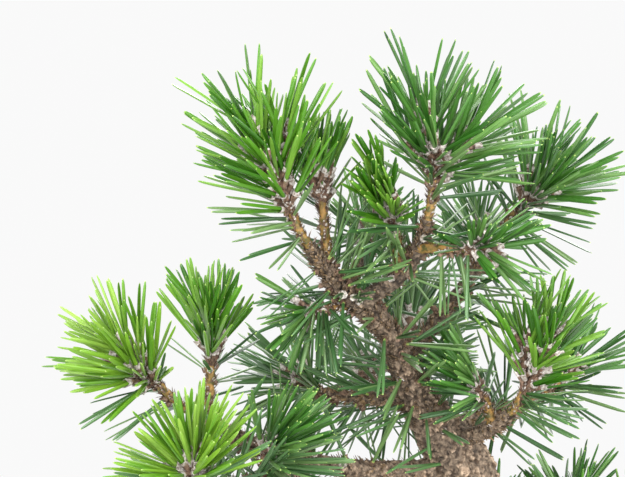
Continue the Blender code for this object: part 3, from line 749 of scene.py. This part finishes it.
def clear_of_limbs(points):
    """True for each needle whose points all lie past the limbs' radius plus the margin."""
    clear = np.ones(len(points), bool)
    for line, radii in lines.values():
        for a, b, r in zip(line[:-1], line[1:], radii):
            clear &= (distance_to(points, a, b) > r + WOOD_MARGIN).all(axis=1)
    return clear


def needles_that_fit(name, root, tip):
    """True for each needle that keeps to its own mass's space and clear of all wood."""
    points = test_points(root, tip)
    own = np.full(points.shape[:2], np.inf)
    other = np.full(points.shape[:2], np.inf)
    for mass_name, group in shoots.items():
        for shoot in group:
            for a, b in zip(shoot[:-1], shoot[1:]):
                distance = distance_to(points, a, b)
                if mass_name == name:
                    own = np.minimum(own, distance)
                else:
                    other = np.minimum(other, distance)
    fits = (own + SPACE_MARGIN < other).all(axis=1) & clear_of_limbs(points)
    for a, b, r in collars:
        fits &= (distance_to(points, a, b) > r * COLLAR_SWELL + WOOD_MARGIN).all(axis=1)
    return fits & (tip[:, 2] > LOWEST_TIP)


print("test points on a needle:", len(TEST_SHARES))

# %% [markdown]
# Each mass has its own seed, the same as its solid's, and takes the first pairs that fit.

# %% Needle pairs of every mass
PAIRS_PER_SOLID, TRIES = 2.5, 14
pairs = {}
for number, (name, mass) in enumerate(MASSES.items()):
    wanted = int(mass.solid * PAIRS_PER_SOLID)
    found = propose_needles(mass, shoots[name], wanted * TRIES, FIRST_SEED + number)
    fits = np.flatnonzero(needles_that_fit(name, found[0], found[2]))[:wanted]
    pairs[name] = [values[fits] for values in found]
print("needle pairs:", sum(len(found[0]) for found in pairs.values()))

# %% [markdown]
# Last year's needles also stand straight on the trunk and the older boughs, all round them, and
# lean a little towards the limb's tip. Each limb has a stretch, as shares of its length, and a
# number of pairs.

# %% Needles on the wood
WOOD_STRETCHES = {
    "trunk": (0.46, 0.96, 100),
    "bough_left": (0.12, 0.86, 34),
    "bough_crown_right": (0.3, 0.95, 26),
    "bough_back_right": (0.2, 0.9, 22),
    "bough_back_middle": (0.1, 0.9, 14),
    "bough_back_low": (0.1, 0.9, 14),
    "bough_back_left": (0.1, 0.9, 14),
    "bough_back_right_low": (0.15, 0.9, 24),
    "bough_left_front": (0.3, 0.95, 24),
}
WOOD_NEEDLE_LENGTHS = (30.0, 43.0)
WOOD_LEAN = (-0.15, 0.75)
FOOT_DEPTH, FINE_STEP = 0.7, 0.5


def needles_on_wood(seed):
    """Outward from the limb at a chance angle, plus a lean along it."""
    rng = np.random.default_rng(seed)
    feet, axes, tips = [], [], []
    for name, (low, high, count) in WOOD_STRETCHES.items():
        line, radius, _ = resample(*lines[name], FINE_STEP)
        pick = (rng.uniform(low, high, count) * (len(line) - 1)).astype(int)
        along = normalised(np.gradient(line, axis=0))[pick]
        right, up = cross_frame(along)
        angle = rng.random(count)[:, None] * 2 * np.pi
        out = right * np.cos(angle) + up * np.sin(angle)
        way = normalised(out + along * rng.uniform(*WOOD_LEAN, count)[:, None])
        feet.append(line[pick] + out * radius[pick][:, None] * FOOT_DEPTH)
        axes.append(along)
        tips.append(feet[-1] + way * rng.uniform(*WOOD_NEEDLE_LENGTHS, count)[:, None])
    root, axis, tip = (np.concatenate(values) for values in (feet, axes, tips))
    keep = clear_of_limbs(test_points(root, tip)[:, 1:]) & (tip[:, 2] > LOWEST_TIP)
    return [root[keep], axis[keep], tip[keep], np.ones(int(keep.sum()), bool)]


wood_pairs = needles_on_wood(250)
print("pairs on the wood:", len(wood_pairs[0]))

# %% [markdown]
# A black pine's needles come in twos that share one round: each is a half round, flat on the side
# that faces its twin. So the section is a half circle of five points, carried along a line that
# bows gently outwards, full width for most of its length, and blunt. Flat and round sides meet at
# a sharp edge, which gives the thin bright line along each needle.

# %% Paired needles
NEEDLE_RADIUS, OLD_SLIMNESS = 1.0, 0.8
NEEDLE_RINGS = np.array([0.0, 0.10, 0.32, 0.58, 0.80, 0.93, 0.985, 1.0])
NEEDLE_WIDTH = np.array([0.62, 0.80, 0.96, 1.0, 0.94, 0.76, 0.42, 0.10])
PAIR_OPENING, OPENING_CURVE = (0.030, 0.085), 1.3
NEEDLE_BOW, BOW_OUTWARD = 0.05, 1.6
TRIMS, STOUTNESS = (0.93, 1.0), (0.86, 1.08)
TONE_SHARES = (0.45, 0.3, 0.25)
FOOT_TONE, TIP_TONE = 6, 7


def needle_pairs(name, tint, root, axis, tip, is_old, seed):
    """Two half-round needles for each pair, opened to both sides and bowed away from the shoot."""
    rng = np.random.default_rng(seed)
    count = len(root)
    way = tip - root
    length = np.linalg.norm(way, axis=1)
    way = way / length[:, None]
    right, up = cross_frame(way)
    turn = rng.random(count)[:, None] * np.pi
    side = right * np.cos(turn) + up * np.sin(turn)
    outward = normalised(way - (way * axis).sum(1, keepdims=True) * axis)
    bow = outward - (outward * way).sum(1, keepdims=True) * way
    opening = rng.uniform(*PAIR_OPENING, count)
    sag = rng.uniform(-NEEDLE_BOW, NEEDLE_BOW * BOW_OUTWARD, count)
    share = NEEDLE_RINGS[None, :, None]
    half = np.radians([-90, -45, 0, 45, 90])
    halves = []
    for sign in (1.0, -1.0):
        out = side * sign
        across = np.cross(way, out)
        trim = rng.uniform(*TRIMS, count)[:, None, None]
        line = root[:, None] + way[:, None] * (length[:, None, None] * share * trim)
        line = line + out[:, None] * (opening * length)[:, None, None] * share**OPENING_CURVE
        line = line + bow[:, None] * (sag * length)[:, None, None] * share * (share - 1.0)
        stout = rng.uniform(*STOUTNESS, count) * np.where(is_old, OLD_SLIMNESS, 1.0)
        wide = NEEDLE_RADIUS * NEEDLE_WIDTH[None, :, None, None] * stout[:, None, None, None]
        ring = turned(out, across, half)[:, None]
        halves.append(line[:, :, None] + ring * wide)
    points = np.concatenate(halves)
    tone = rng.choice(len(TONE_SHARES), count, p=TONE_SHARES) + np.where(is_old, 3, 0)
    tones = np.repeat(np.tile(tone, 2)[:, None], len(NEEDLE_RINGS) - 1, axis=1)
    tones[:, [0, -1]] = FOOT_TONE, TIP_TONE
    materials = greens[tint] + greens["old"] + [needle_foot, needle_tip]
    return put_tubes("sprays_" + name, points, materials, tones)


print("faces of a needle:", sum(map(len, tube_faces(1, len(NEEDLE_RINGS), 5))))

# %% [markdown]
# Each mass is a piece of its own, shown in place of its solid. The needles on the wood are one more
# piece, which stands for no solid, all in last year's greens.

# %% Needles as pieces
for number, (name, mass) in enumerate(MASSES.items()):
    piece = needle_pairs(name, mass.tint, *pairs[name], seed=300 + number)
    wear(piece, "needles", "needles_" + name)
piece = needle_pairs("wood", "old", *wood_pairs, seed=360)
wear(piece, "needles")

# %% [markdown]
# Each pair stands in a sheath, a papery sleeve that is purple-brown below and frays to white at
# its rim. On a young candle the sheaths are so close that they hide the shoot, and they are what
# makes it look scaly. The rim's teeth are its own points, moved up and down by chance.

# %% Sheaths
SHEATH_RINGS = np.array([0.0, 0.35, 0.72, 1.0, 0.80])
SHEATH_WIDTH = np.array([0.55, 0.80, 1.0, 1.22, 0.86])
SHEATH_RADIUS, SHEATH_SIDES, TEETH = 1.45, 7, 1.1
SHEATH_LENGTHS, OLD_SHEATH_LENGTHS = (6.5, 11.0), (2.5, 4.0)
SHEATH_SIZES, SHEATH_FOLDS = (0.85, 1.12), (0.88, 1.14)
PALE_SHARE, BROWN_OLD_SHARE = 0.3, 0.8


def sheaths():
    """A ring radius that widens upwards times chance folds, and chance heights at the rim."""
    rng = np.random.default_rng(700)
    root, axis, tip, is_old = (
        np.concatenate([found[k] for found in [*pairs.values(), wood_pairs]]) for k in range(4)
    )
    way = normalised(tip - root)
    right, up = cross_frame(way)
    count = len(root)
    young = rng.uniform(*SHEATH_LENGTHS, count)
    length = np.where(is_old, rng.uniform(*OLD_SHEATH_LENGTHS, count), young)
    ring = turned(right, up, full_turn(SHEATH_SIDES))
    wide = SHEATH_RADIUS * SHEATH_WIDTH[None, :, None] * rng.uniform(*SHEATH_SIZES, (count, 1, 1))
    wide = wide * rng.uniform(*SHEATH_FOLDS, (count, len(SHEATH_RINGS), SHEATH_SIDES))
    height = SHEATH_RINGS[None, :, None] * length[:, None, None]
    height = np.repeat(height, SHEATH_SIDES, axis=2)
    height[:, 3] += rng.uniform(-TEETH, TEETH, (count, SHEATH_SIDES))
    points = root[:, None, None] + way[:, None, None] * height[..., None]
    points = points + ring[:, None] * wide[..., None]
    tones = np.tile([0, 0, 1, 1], (count, 1))
    tones[rng.random(count) < PALE_SHARE, 1] = 1
    tones[is_old & (rng.random(count) < BROWN_OLD_SHARE)] = 0
    return put_tubes("sheaths", points, [sheath_brown, sheath_pale], tones, sharp=50)


sleeves = wear(sheaths(), "bark")
print("sheath faces:", len(sleeves.data.polygons))

# %% [markdown]
# Under the needles are the shoots themselves. A stem is last year's wood, yellow or orange with
# green between its leaf scars, and a candle is this year's, dark and scaly, and ends in a bud.

# %% Stems and candles
STEM_SIDES, STEM_RINGS, CUSHIONS = 12, 22, 0.16
STEM_WIDTHS = np.array([1.25, 1.0, 0.95, 0.85])
CANDLE_PLACES = np.array([0.0, 0.5, 0.75, 0.9, 1.0])
CANDLE_WIDTHS = np.array([0.85, 1.0, 0.95, 0.7, 0.12])
CANDLE_CORE = 0.8


def scaly_tubes(name, ways, widths, materials, kinds, seed):
    """Radius times one plus a chance share at each point, like leaf cushions."""
    rng = np.random.default_rng(seed)
    points = []
    for line, radii in zip(ways, widths):
        rows = smooth_rows(np.column_stack([line, radii]), 8)
        at = np.linspace(0, len(rows) - 1, STEM_RINGS)
        rows = np.column_stack([np.interp(at, np.arange(len(rows)), rows[:, k]) for k in range(4)])
        ring = turned(*carried_frames(rows[:, :3]), full_turn(STEM_SIDES))
        bumps = 1 + CUSHIONS * rng.normal(size=(STEM_RINGS, STEM_SIDES))
        bumps[-1] = 1
        points.append(rows[:, None, :3] + ring * (rows[:, 3:4] * bumps)[..., None])
    tones = np.repeat(np.array(kinds)[:, None], STEM_RINGS - 1, axis=1)
    return put_tubes(name, np.array(points), materials, tones, sharp=70)


stem_lines, stem_radii, candle_lines, candle_radii = [], [], [], []
for name, group in shoots.items():
    stem_lines.append(np.vstack([roots[name], group[0]]))
    stem_radii.append(STEM_DIAMETER / 2 * STEM_WIDTHS)
    for start, end in group[1:]:
        candle_lines.append(start + (end - start) * CANDLE_PLACES[:, None])
        candle_radii.append(CANDLE_DIAMETER / 2 * CANDLE_CORE * CANDLE_WIDTHS)
kinds = [int(mass.tint == "old") for mass in MASSES.values()]
stems = scaly_tubes("stems", stem_lines, stem_radii, [shoot_skin, twig_bark], kinds, 800)
kinds = [0] * len(candle_lines)
candles = scaly_tubes("candles", candle_lines, candle_radii, [candle_skin], kinds, 801)
wear(stems, "bark")
wear(candles, "bark")
print("stems:", len(stem_lines), "candles:", len(candle_lines))

# %% [markdown]
# Between the sheaths, and all over older twigs, sit the dry scales that once covered the bud. Each
# is a small pointed flap that leans outwards, pale at its fringe. They are four-sided slivers, and
# there are thousands, so each has only fourteen faces.

# %% Bud scales
SCALE_RINGS = np.array([-0.1, 0.35, 0.75, 1.0])
SCALE_WIDTH = np.array([0.7, 1.0, 0.7, 0.15])
SCALE_LENGTHS = (1.8, 3.6)
SCALE_HALF_WIDTH, SCALE_THICKNESS = 0.62, 0.12
SCALE_DEPTH, SCALE_CURL = 0.92, 0.25
CURLS, SCALE_SIZES = (-0.2, 1), (0.7, 1.3)
FLAKES_ABOVE = 175.0


def scales(name, ways, widths, per_mm, lean, seed, materials, pale):
    """Slivers at random places on the wood: out along the wood and away from it by the lean."""
    rng = np.random.default_rng(seed)
    base, outward, along = [], [], []
    for line, radii in zip(ways, widths):
        fine, radius, run = resample(line, radii, FINE_STEP)
        count = int(run[-1] * per_mm)
        pick = np.sort(rng.integers(1, len(fine) - 1, count))
        right, up = carried_frames(fine)
        angle = rng.random(count)[:, None] * 2 * np.pi
        out = right[pick] * np.cos(angle) + up[pick] * np.sin(angle)
        base.append(fine[pick] + out * radius[pick][:, None] * SCALE_DEPTH)
        outward.append(out)
        along.append(normalised(np.gradient(fine, axis=0))[pick])
    base, outward, along = (np.concatenate(values) for values in (base, outward, along))
    count = len(base)
    tilt = rng.uniform(*lean, count)[:, None]
    length = rng.uniform(*SCALE_LENGTHS, count)[:, None, None]
    way = normalised(along + outward * tilt)
    across = normalised(np.cross(way, outward))
    thick = np.cross(across, way)
    share = SCALE_RINGS[None, :, None]
    line = base[:, None] + way[:, None] * length * share
    curl = rng.uniform(*CURLS, (count, 1, 1))
    line = line + outward[:, None] * length * SCALE_CURL * share**2 * curl
    corner = np.array([[1, 0], [0, 1], [-1, 0], [0, -1]])
    wide = SCALE_WIDTH[None, :, None, None] * rng.uniform(*SCALE_SIZES, (count, 1, 1, 1))
    points = line[:, :, None] + wide * (
        across[:, None, None] * corner[None, None, :, :1] * SCALE_HALF_WIDTH
        - thick[:, None, None] * corner[None, None, :, 1:] * SCALE_THICKNESS
    )
    tones = np.tile([0, 0, 1], (count, 1))
    tones[rng.random(count) < pale, 1] = 1
    return put_tubes(name, points, materials, tones, sharp=40)


print("faces of a scale:", sum(map(len, tube_faces(1, len(SCALE_RINGS), 4))))

# %% [markdown]
# Papery scales go on the candles and stems. The boughs and the top of the trunk get flakes of bark
# by the same function, in wood colours.

# %% Scales and flakes on the wood
papery, flaky = [sheath_brown, sheath_pale], [twig_bark, flake_skin]
bough_lines, bough_radii = zip(*(lines[name] for name in LIMBS))
upper = lines["trunk"][0][:, 2] > FLAKES_ABOVE
top_line, top_radii = ([values[upper]] for values in lines["trunk"])
# Lines and radii, scales in a millimetre, lean, seed, materials, share that is pale half way up
COATS = {
    "candle_scales": (candle_lines, candle_radii, 3.4, (0.15, 0.6), 900, papery, 0.5),
    "stem_scales": (stem_lines, stem_radii, 3.6, (0.3, 1.1), 901, papery, 0.25),
    "bough_scales": (bough_lines, bough_radii, 3.4, (0.4, 1.6), 902, flaky, 0.3),
    "trunk_scales": (top_line, top_radii, 9.0, (0.3, 1.3), 903, flaky, 0.4),
}
for name, coat in COATS.items():
    piece = wear(scales(name, *coat), "bark")
    print(name, "faces:", len(piece.data.polygons))

# %% [markdown]
# The pot is a slab-built clay tray: a rectangle with round corners, a lip round its mouth and a
# set-back foot. A loop of points at each height of the profile, joined to the next, is the whole
# pot inside and out. More points at the corners than the solid has make them smooth.

# %% Pot
CORNER_STEPS, SMALLEST_CORNER = 12, 4.0


def rounded_loop(inset, z):
    """Quarter circles at four corners, set in from the widest outline, at one height."""
    half = np.array([POT_LENGTH, POT_WIDTH]) / 2 - inset
    corner = max(POT_CORNER - inset, SMALLEST_CORNER)
    share = np.arange(CORNER_STEPS + 1) / CORNER_STEPS
    a = np.radians(90 * (np.arange(4)[:, None] + share))
    sign = np.array([[1, 1], [-1, 1], [-1, -1], [1, -1]])[:, None]
    flat = sign * (half - corner) + corner * np.stack([np.cos(a), np.sin(a)], axis=-1)
    flat = flat.reshape(-1, 2)
    return np.column_stack([flat, np.full(len(flat), z)])


def inner_inset(z):
    """How far the inner wall stands in from the outline at a height."""
    top = POT_HEIGHT - LIP_ROUND
    return LIP_WIDTH + (WALL_LEAN + LIP_DEPTH) * (top - z) / (top - FLOOR_THICKNESS)


lip_base, lip_top = POT_HEIGHT - LIP_HEIGHT, POT_HEIGHT - LIP_ROUND
bend_top = FLOOR_THICKNESS + FLOOR_BEND
turn = np.radians(np.arange(0, 91, 18))
outer_round = [(LIP_ROUND * (1 - np.cos(a)), lip_top + LIP_ROUND * np.sin(a)) for a in turn]
inner_round = [(LIP_WIDTH - i, z) for i, z in outer_round[::-1]]
# Inset and height, from the underside up the outside, over the lip and down to the floor
profile = [
    (FOOT_SET_BACK, 0.0),
    (FOOT_SET_BACK, FOOT_HEIGHT - 1.0),
    (FOOT_SET_BACK - 1.5, FOOT_HEIGHT),
    (LIP_DEPTH + WALL_LEAN + 2.0, FOOT_HEIGHT + 1.2),
    (LIP_DEPTH + WALL_LEAN, FOOT_HEIGHT + 3.0),
    (LIP_DEPTH, lip_base - 2.0),
    (LIP_DEPTH - 0.5, lip_base),
    (LIP_ROUND * 0.4, lip_base),
    (0.0, lip_base + LIP_ROUND),
    *outer_round,
    *inner_round,
    (inner_inset(bend_top), bend_top),
    (inner_inset(FLOOR_THICKNESS) + FLOOR_BEND_INSET, FLOOR_THICKNESS),
]
loops = np.array([rounded_loop(inset, z) for inset, z in profile])
wear(put_tubes("clay_pot", loops[None], [clay], sharp=35), "clay", "pot")
print("loops of the pot:", len(loops))

# %% [markdown]
# Bonsai soil is coarse: fired clay and lava grains with dark earth between. The earth is a closed
# stack of loops that fills the pot, with a top of rings that close in on its middle.

# %% Soil
SOIL_RINGS, CLOD_SIZE, CLOD_DEPTH = 48, 2.6, 0.7
MOUND_INSET, MOUND_LEVEL, RING_SHARES = 10, 0.55, (0.985, 0.02)


def mound_height(x, y):
    """The soil's top: level in the middle, falling by a smooth step to the wall."""
    reach_x = np.abs(x) / (POT_LENGTH / 2 - MOUND_INSET)
    reach_y = np.abs(y) / (POT_WIDTH / 2 - MOUND_INSET)
    return SOIL_TOP - SOIL_EDGE_DROP * soft_step(np.maximum(reach_x, reach_y), MOUND_LEVEL, 1.0)


def make_soil():
    """Loops up the pot's wall, then rings that shrink to the middle, raised and sunk by clods."""
    edge = SOIL_TOP - SOIL_EDGE_DROP
    floor_inset = inner_inset(FLOOR_THICKNESS) + FLOOR_BEND_INSET
    wall = inner_inset(edge) + GAP
    stack = [
        rounded_loop(floor_inset + GAP, FLOOR_THICKNESS + GAP),
        rounded_loop(inner_inset(bend_top) + GAP, bend_top + GAP),
        rounded_loop(wall, edge - 0.6),
    ]
    outline = rounded_loop(wall, edge)
    for share in np.linspace(*RING_SHARES, SOIL_RINGS):
        ring = outline * [share, share, 1]
        ring[:, 2] = mound_height(ring[:, 0], ring[:, 1])
        stack.append(ring)
    stack = np.array(stack)
    crack, tint = plates(stack[3:], CLOD_SIZE, 61)
    stack[3:, :, 2] += (0.9 * soft_step(crack, 0, 0.3) * (0.4 + tint) - 0.8) * CLOD_DEPTH
    return put_tubes("earth", stack[None], [earth])


wear(make_soil(), "earth", "soil")
print("rings of the soil's top:", SOIL_RINGS)

# %% [markdown]
# On the earth lie loose grains. Each is a pebble of four rings of five points, dented, squashed and
# turned by chance. About half of them are dark, a quarter tan and a quarter grey.

# %% Grains
GRAIN_COUNT, GRAIN_RADII, GRAIN_SIDES, GRAIN_SINK = 5200, (0.8, 1.9), 5, 0.2
GRAIN_HEIGHTS = np.array([-0.8, -0.4, 0.35, 0.8])
GRAIN_WIDTHS = np.array([0.35, 0.95, 1.0, 0.4])
DENTS, SQUASH, GRAIN_LEAN = (0.75, 1.15), (0.7, 1.15), (0.5, 0.5, 0.2)
KINDS_OF_GRAIN = (0.5, 0.25, 0.25)
WALL_CLEARANCE, FOOT_CLEARANCE = 3.5, 24.0


def make_grains():
    """Rings of each grain's own widths and heights, dented, squashed, turned and strewn."""
    rng = np.random.default_rng(62)
    half = np.array([POT_LENGTH, POT_WIDTH]) / 2 - LIP_WIDTH - WALL_CLEARANCE
    spots = np.column_stack([rng.uniform(-reach, reach, GRAIN_COUNT) for reach in half])
    corner = POT_CORNER - LIP_WIDTH
    past_corner = np.hypot(*np.maximum(np.abs(spots) - half + corner, 0).T)
    from_trunk = np.hypot(*(spots - lines["trunk"][0][0, :2]).T)
    spots = spots[(past_corner < corner) & (from_trunk > FOOT_CLEARANCE)]
    count = len(spots)
    size = rng.uniform(*GRAIN_RADII, count)
    angle = full_turn(GRAIN_SIDES)
    across, away = (np.outer(GRAIN_WIDTHS, wave) for wave in (np.cos(angle), np.sin(angle)))
    height = np.repeat(GRAIN_HEIGHTS[:, None], GRAIN_SIDES, axis=1)
    shape = np.stack([across, away, height], axis=-1)
    shape = shape * rng.uniform(*DENTS, (count, len(GRAIN_HEIGHTS), GRAIN_SIDES, 1))
    shape = shape * rng.uniform(*SQUASH, (count, 1, 1, 3))
    axis = normalised(rng.normal(size=(count, 3)) * GRAIN_LEAN + [0, 0, 1.0])
    right, up = cross_frame(axis)
    points = (
        shape[..., :1] * right[:, None, None]
        + shape[..., 1:2] * up[:, None, None]
        + shape[..., 2:] * axis[:, None, None]
    ) * size[:, None, None, None]
    places = np.column_stack([spots, mound_height(*spots.T) - GRAIN_SINK * size])
    kinds = rng.choice(len(KINDS_OF_GRAIN), count, p=KINDS_OF_GRAIN)
    tones = np.repeat(kinds[:, None], len(GRAIN_HEIGHTS) - 1, axis=1)
    materials = [earth, grain_tan, grain_grey]
    return put_tubes("grains", points + places[:, None, None], materials, tones, sharp=30)


grains = wear(make_grains(), "earth")
print("faces of the grains:", len(grains.data.polygons))

# %% [markdown]
# The tree stands on a pale disc, which is stage and no part of the object. It shows only in views
# from higher up.

# %% Floor
FLOOR_RADIUS, FLOOR_SIDES, FLOOR_HEIGHTS = 560.0, 96, (-4.0, -0.5)


def make_floor():
    """A disc: one circle at two heights."""
    angle = full_turn(FLOOR_SIDES)
    rim = np.column_stack([np.cos(angle), np.sin(angle), np.zeros(FLOOR_SIDES)]) * FLOOR_RADIUS
    rings = np.array([rim + [0, 0, height] for height in FLOOR_HEIGHTS])
    pale = finish("floor", (0.80, 0.80, 0.79), (0.86, 0.86, 0.85), 6, 300, 0.02, 0.8)
    return put_tubes("floor", rings[None], [pale], sharp=30)


make_floor()
print("floor radius:", FLOOR_RADIUS, "mm")

# %% [markdown]
# The light is plain and soft, as in a picture of a plant for a catalogue: a white surround, a broad
# light high at the front left, and weaker ones at the right, in front and behind.

# %% Light
TARGET = np.array([-39.4, 0.0, 260.3])
# Place in millimetres, length and width in metres, power in watts
LIGHTS = {
    "key": ((-500, -700, 900), (0.7, 0.5), 19.0),
    "fill": ((700, -500, 500), (0.7, 0.6), 12.0),
    "front": ((-100, -1100, 250), (0.9, 0.6), 8.0),
    "back": ((200, 700, 800), (0.8, 0.5), 11.0),
}
SURROUND_STRENGTH = 0.95


def area_light(name, place, size, power):
    """A rectangle of light that faces the camera's target."""
    light = bpy.data.lights.new(name, "AREA")
    light.shape = "RECTANGLE"
    light.size, light.size_y = size
    light.energy = power
    lamp = bpy.data.objects.new(name, light)
    lamp.location = np.array(place) * MM
    direction = Vector(TARGET - np.array(place))
    lamp.rotation_euler = direction.to_track_quat("-Z", "Y").to_euler()
    bpy.context.scene.collection.objects.link(lamp)


for name, light in LIGHTS.items():
    area_light(name, *light)

world = bpy.data.worlds.new("surround")
bpy.context.scene.world = world
world.use_nodes = True
surround = world.node_tree.nodes["Background"]
surround.inputs["Color"].default_value = (1.0, 1.0, 1.0, 1.0)
surround.inputs["Strength"].default_value = SURROUND_STRENGTH
bpy.context.scene.view_settings.view_transform = "Standard"
print("lights:", len(LIGHTS))

# %% [markdown]
# The camera looks almost level from in front, close to the crown, so the pot is below the
# picture's edge. Its lens makes one pixel at the target's distance as wide as it was measured to be.

# %% Camera
IMAGE_WIDTH, MM_PER_PIXEL = 625, 0.45
CAMERA_DISTANCE, CAMERA_RISE, SENSOR = 800.0, 4.0, 36.0

camera_data = bpy.data.cameras.new("camera")
camera_data.sensor_width = SENSOR
camera_data.lens = SENSOR * CAMERA_DISTANCE / (IMAGE_WIDTH * MM_PER_PIXEL)
camera = bpy.data.objects.new("camera", camera_data)
rise = math.radians(CAMERA_RISE)
back = np.array([0.0, -math.cos(rise), math.sin(rise)]) * CAMERA_DISTANCE
camera.location = (TARGET + back) * MM
camera.rotation_euler = (math.pi / 2 - rise, 0.0, 0.0)
bpy.context.scene.collection.objects.link(camera)
bpy.context.scene.camera = camera
print("camera lens:", round(camera_data.lens, 1))
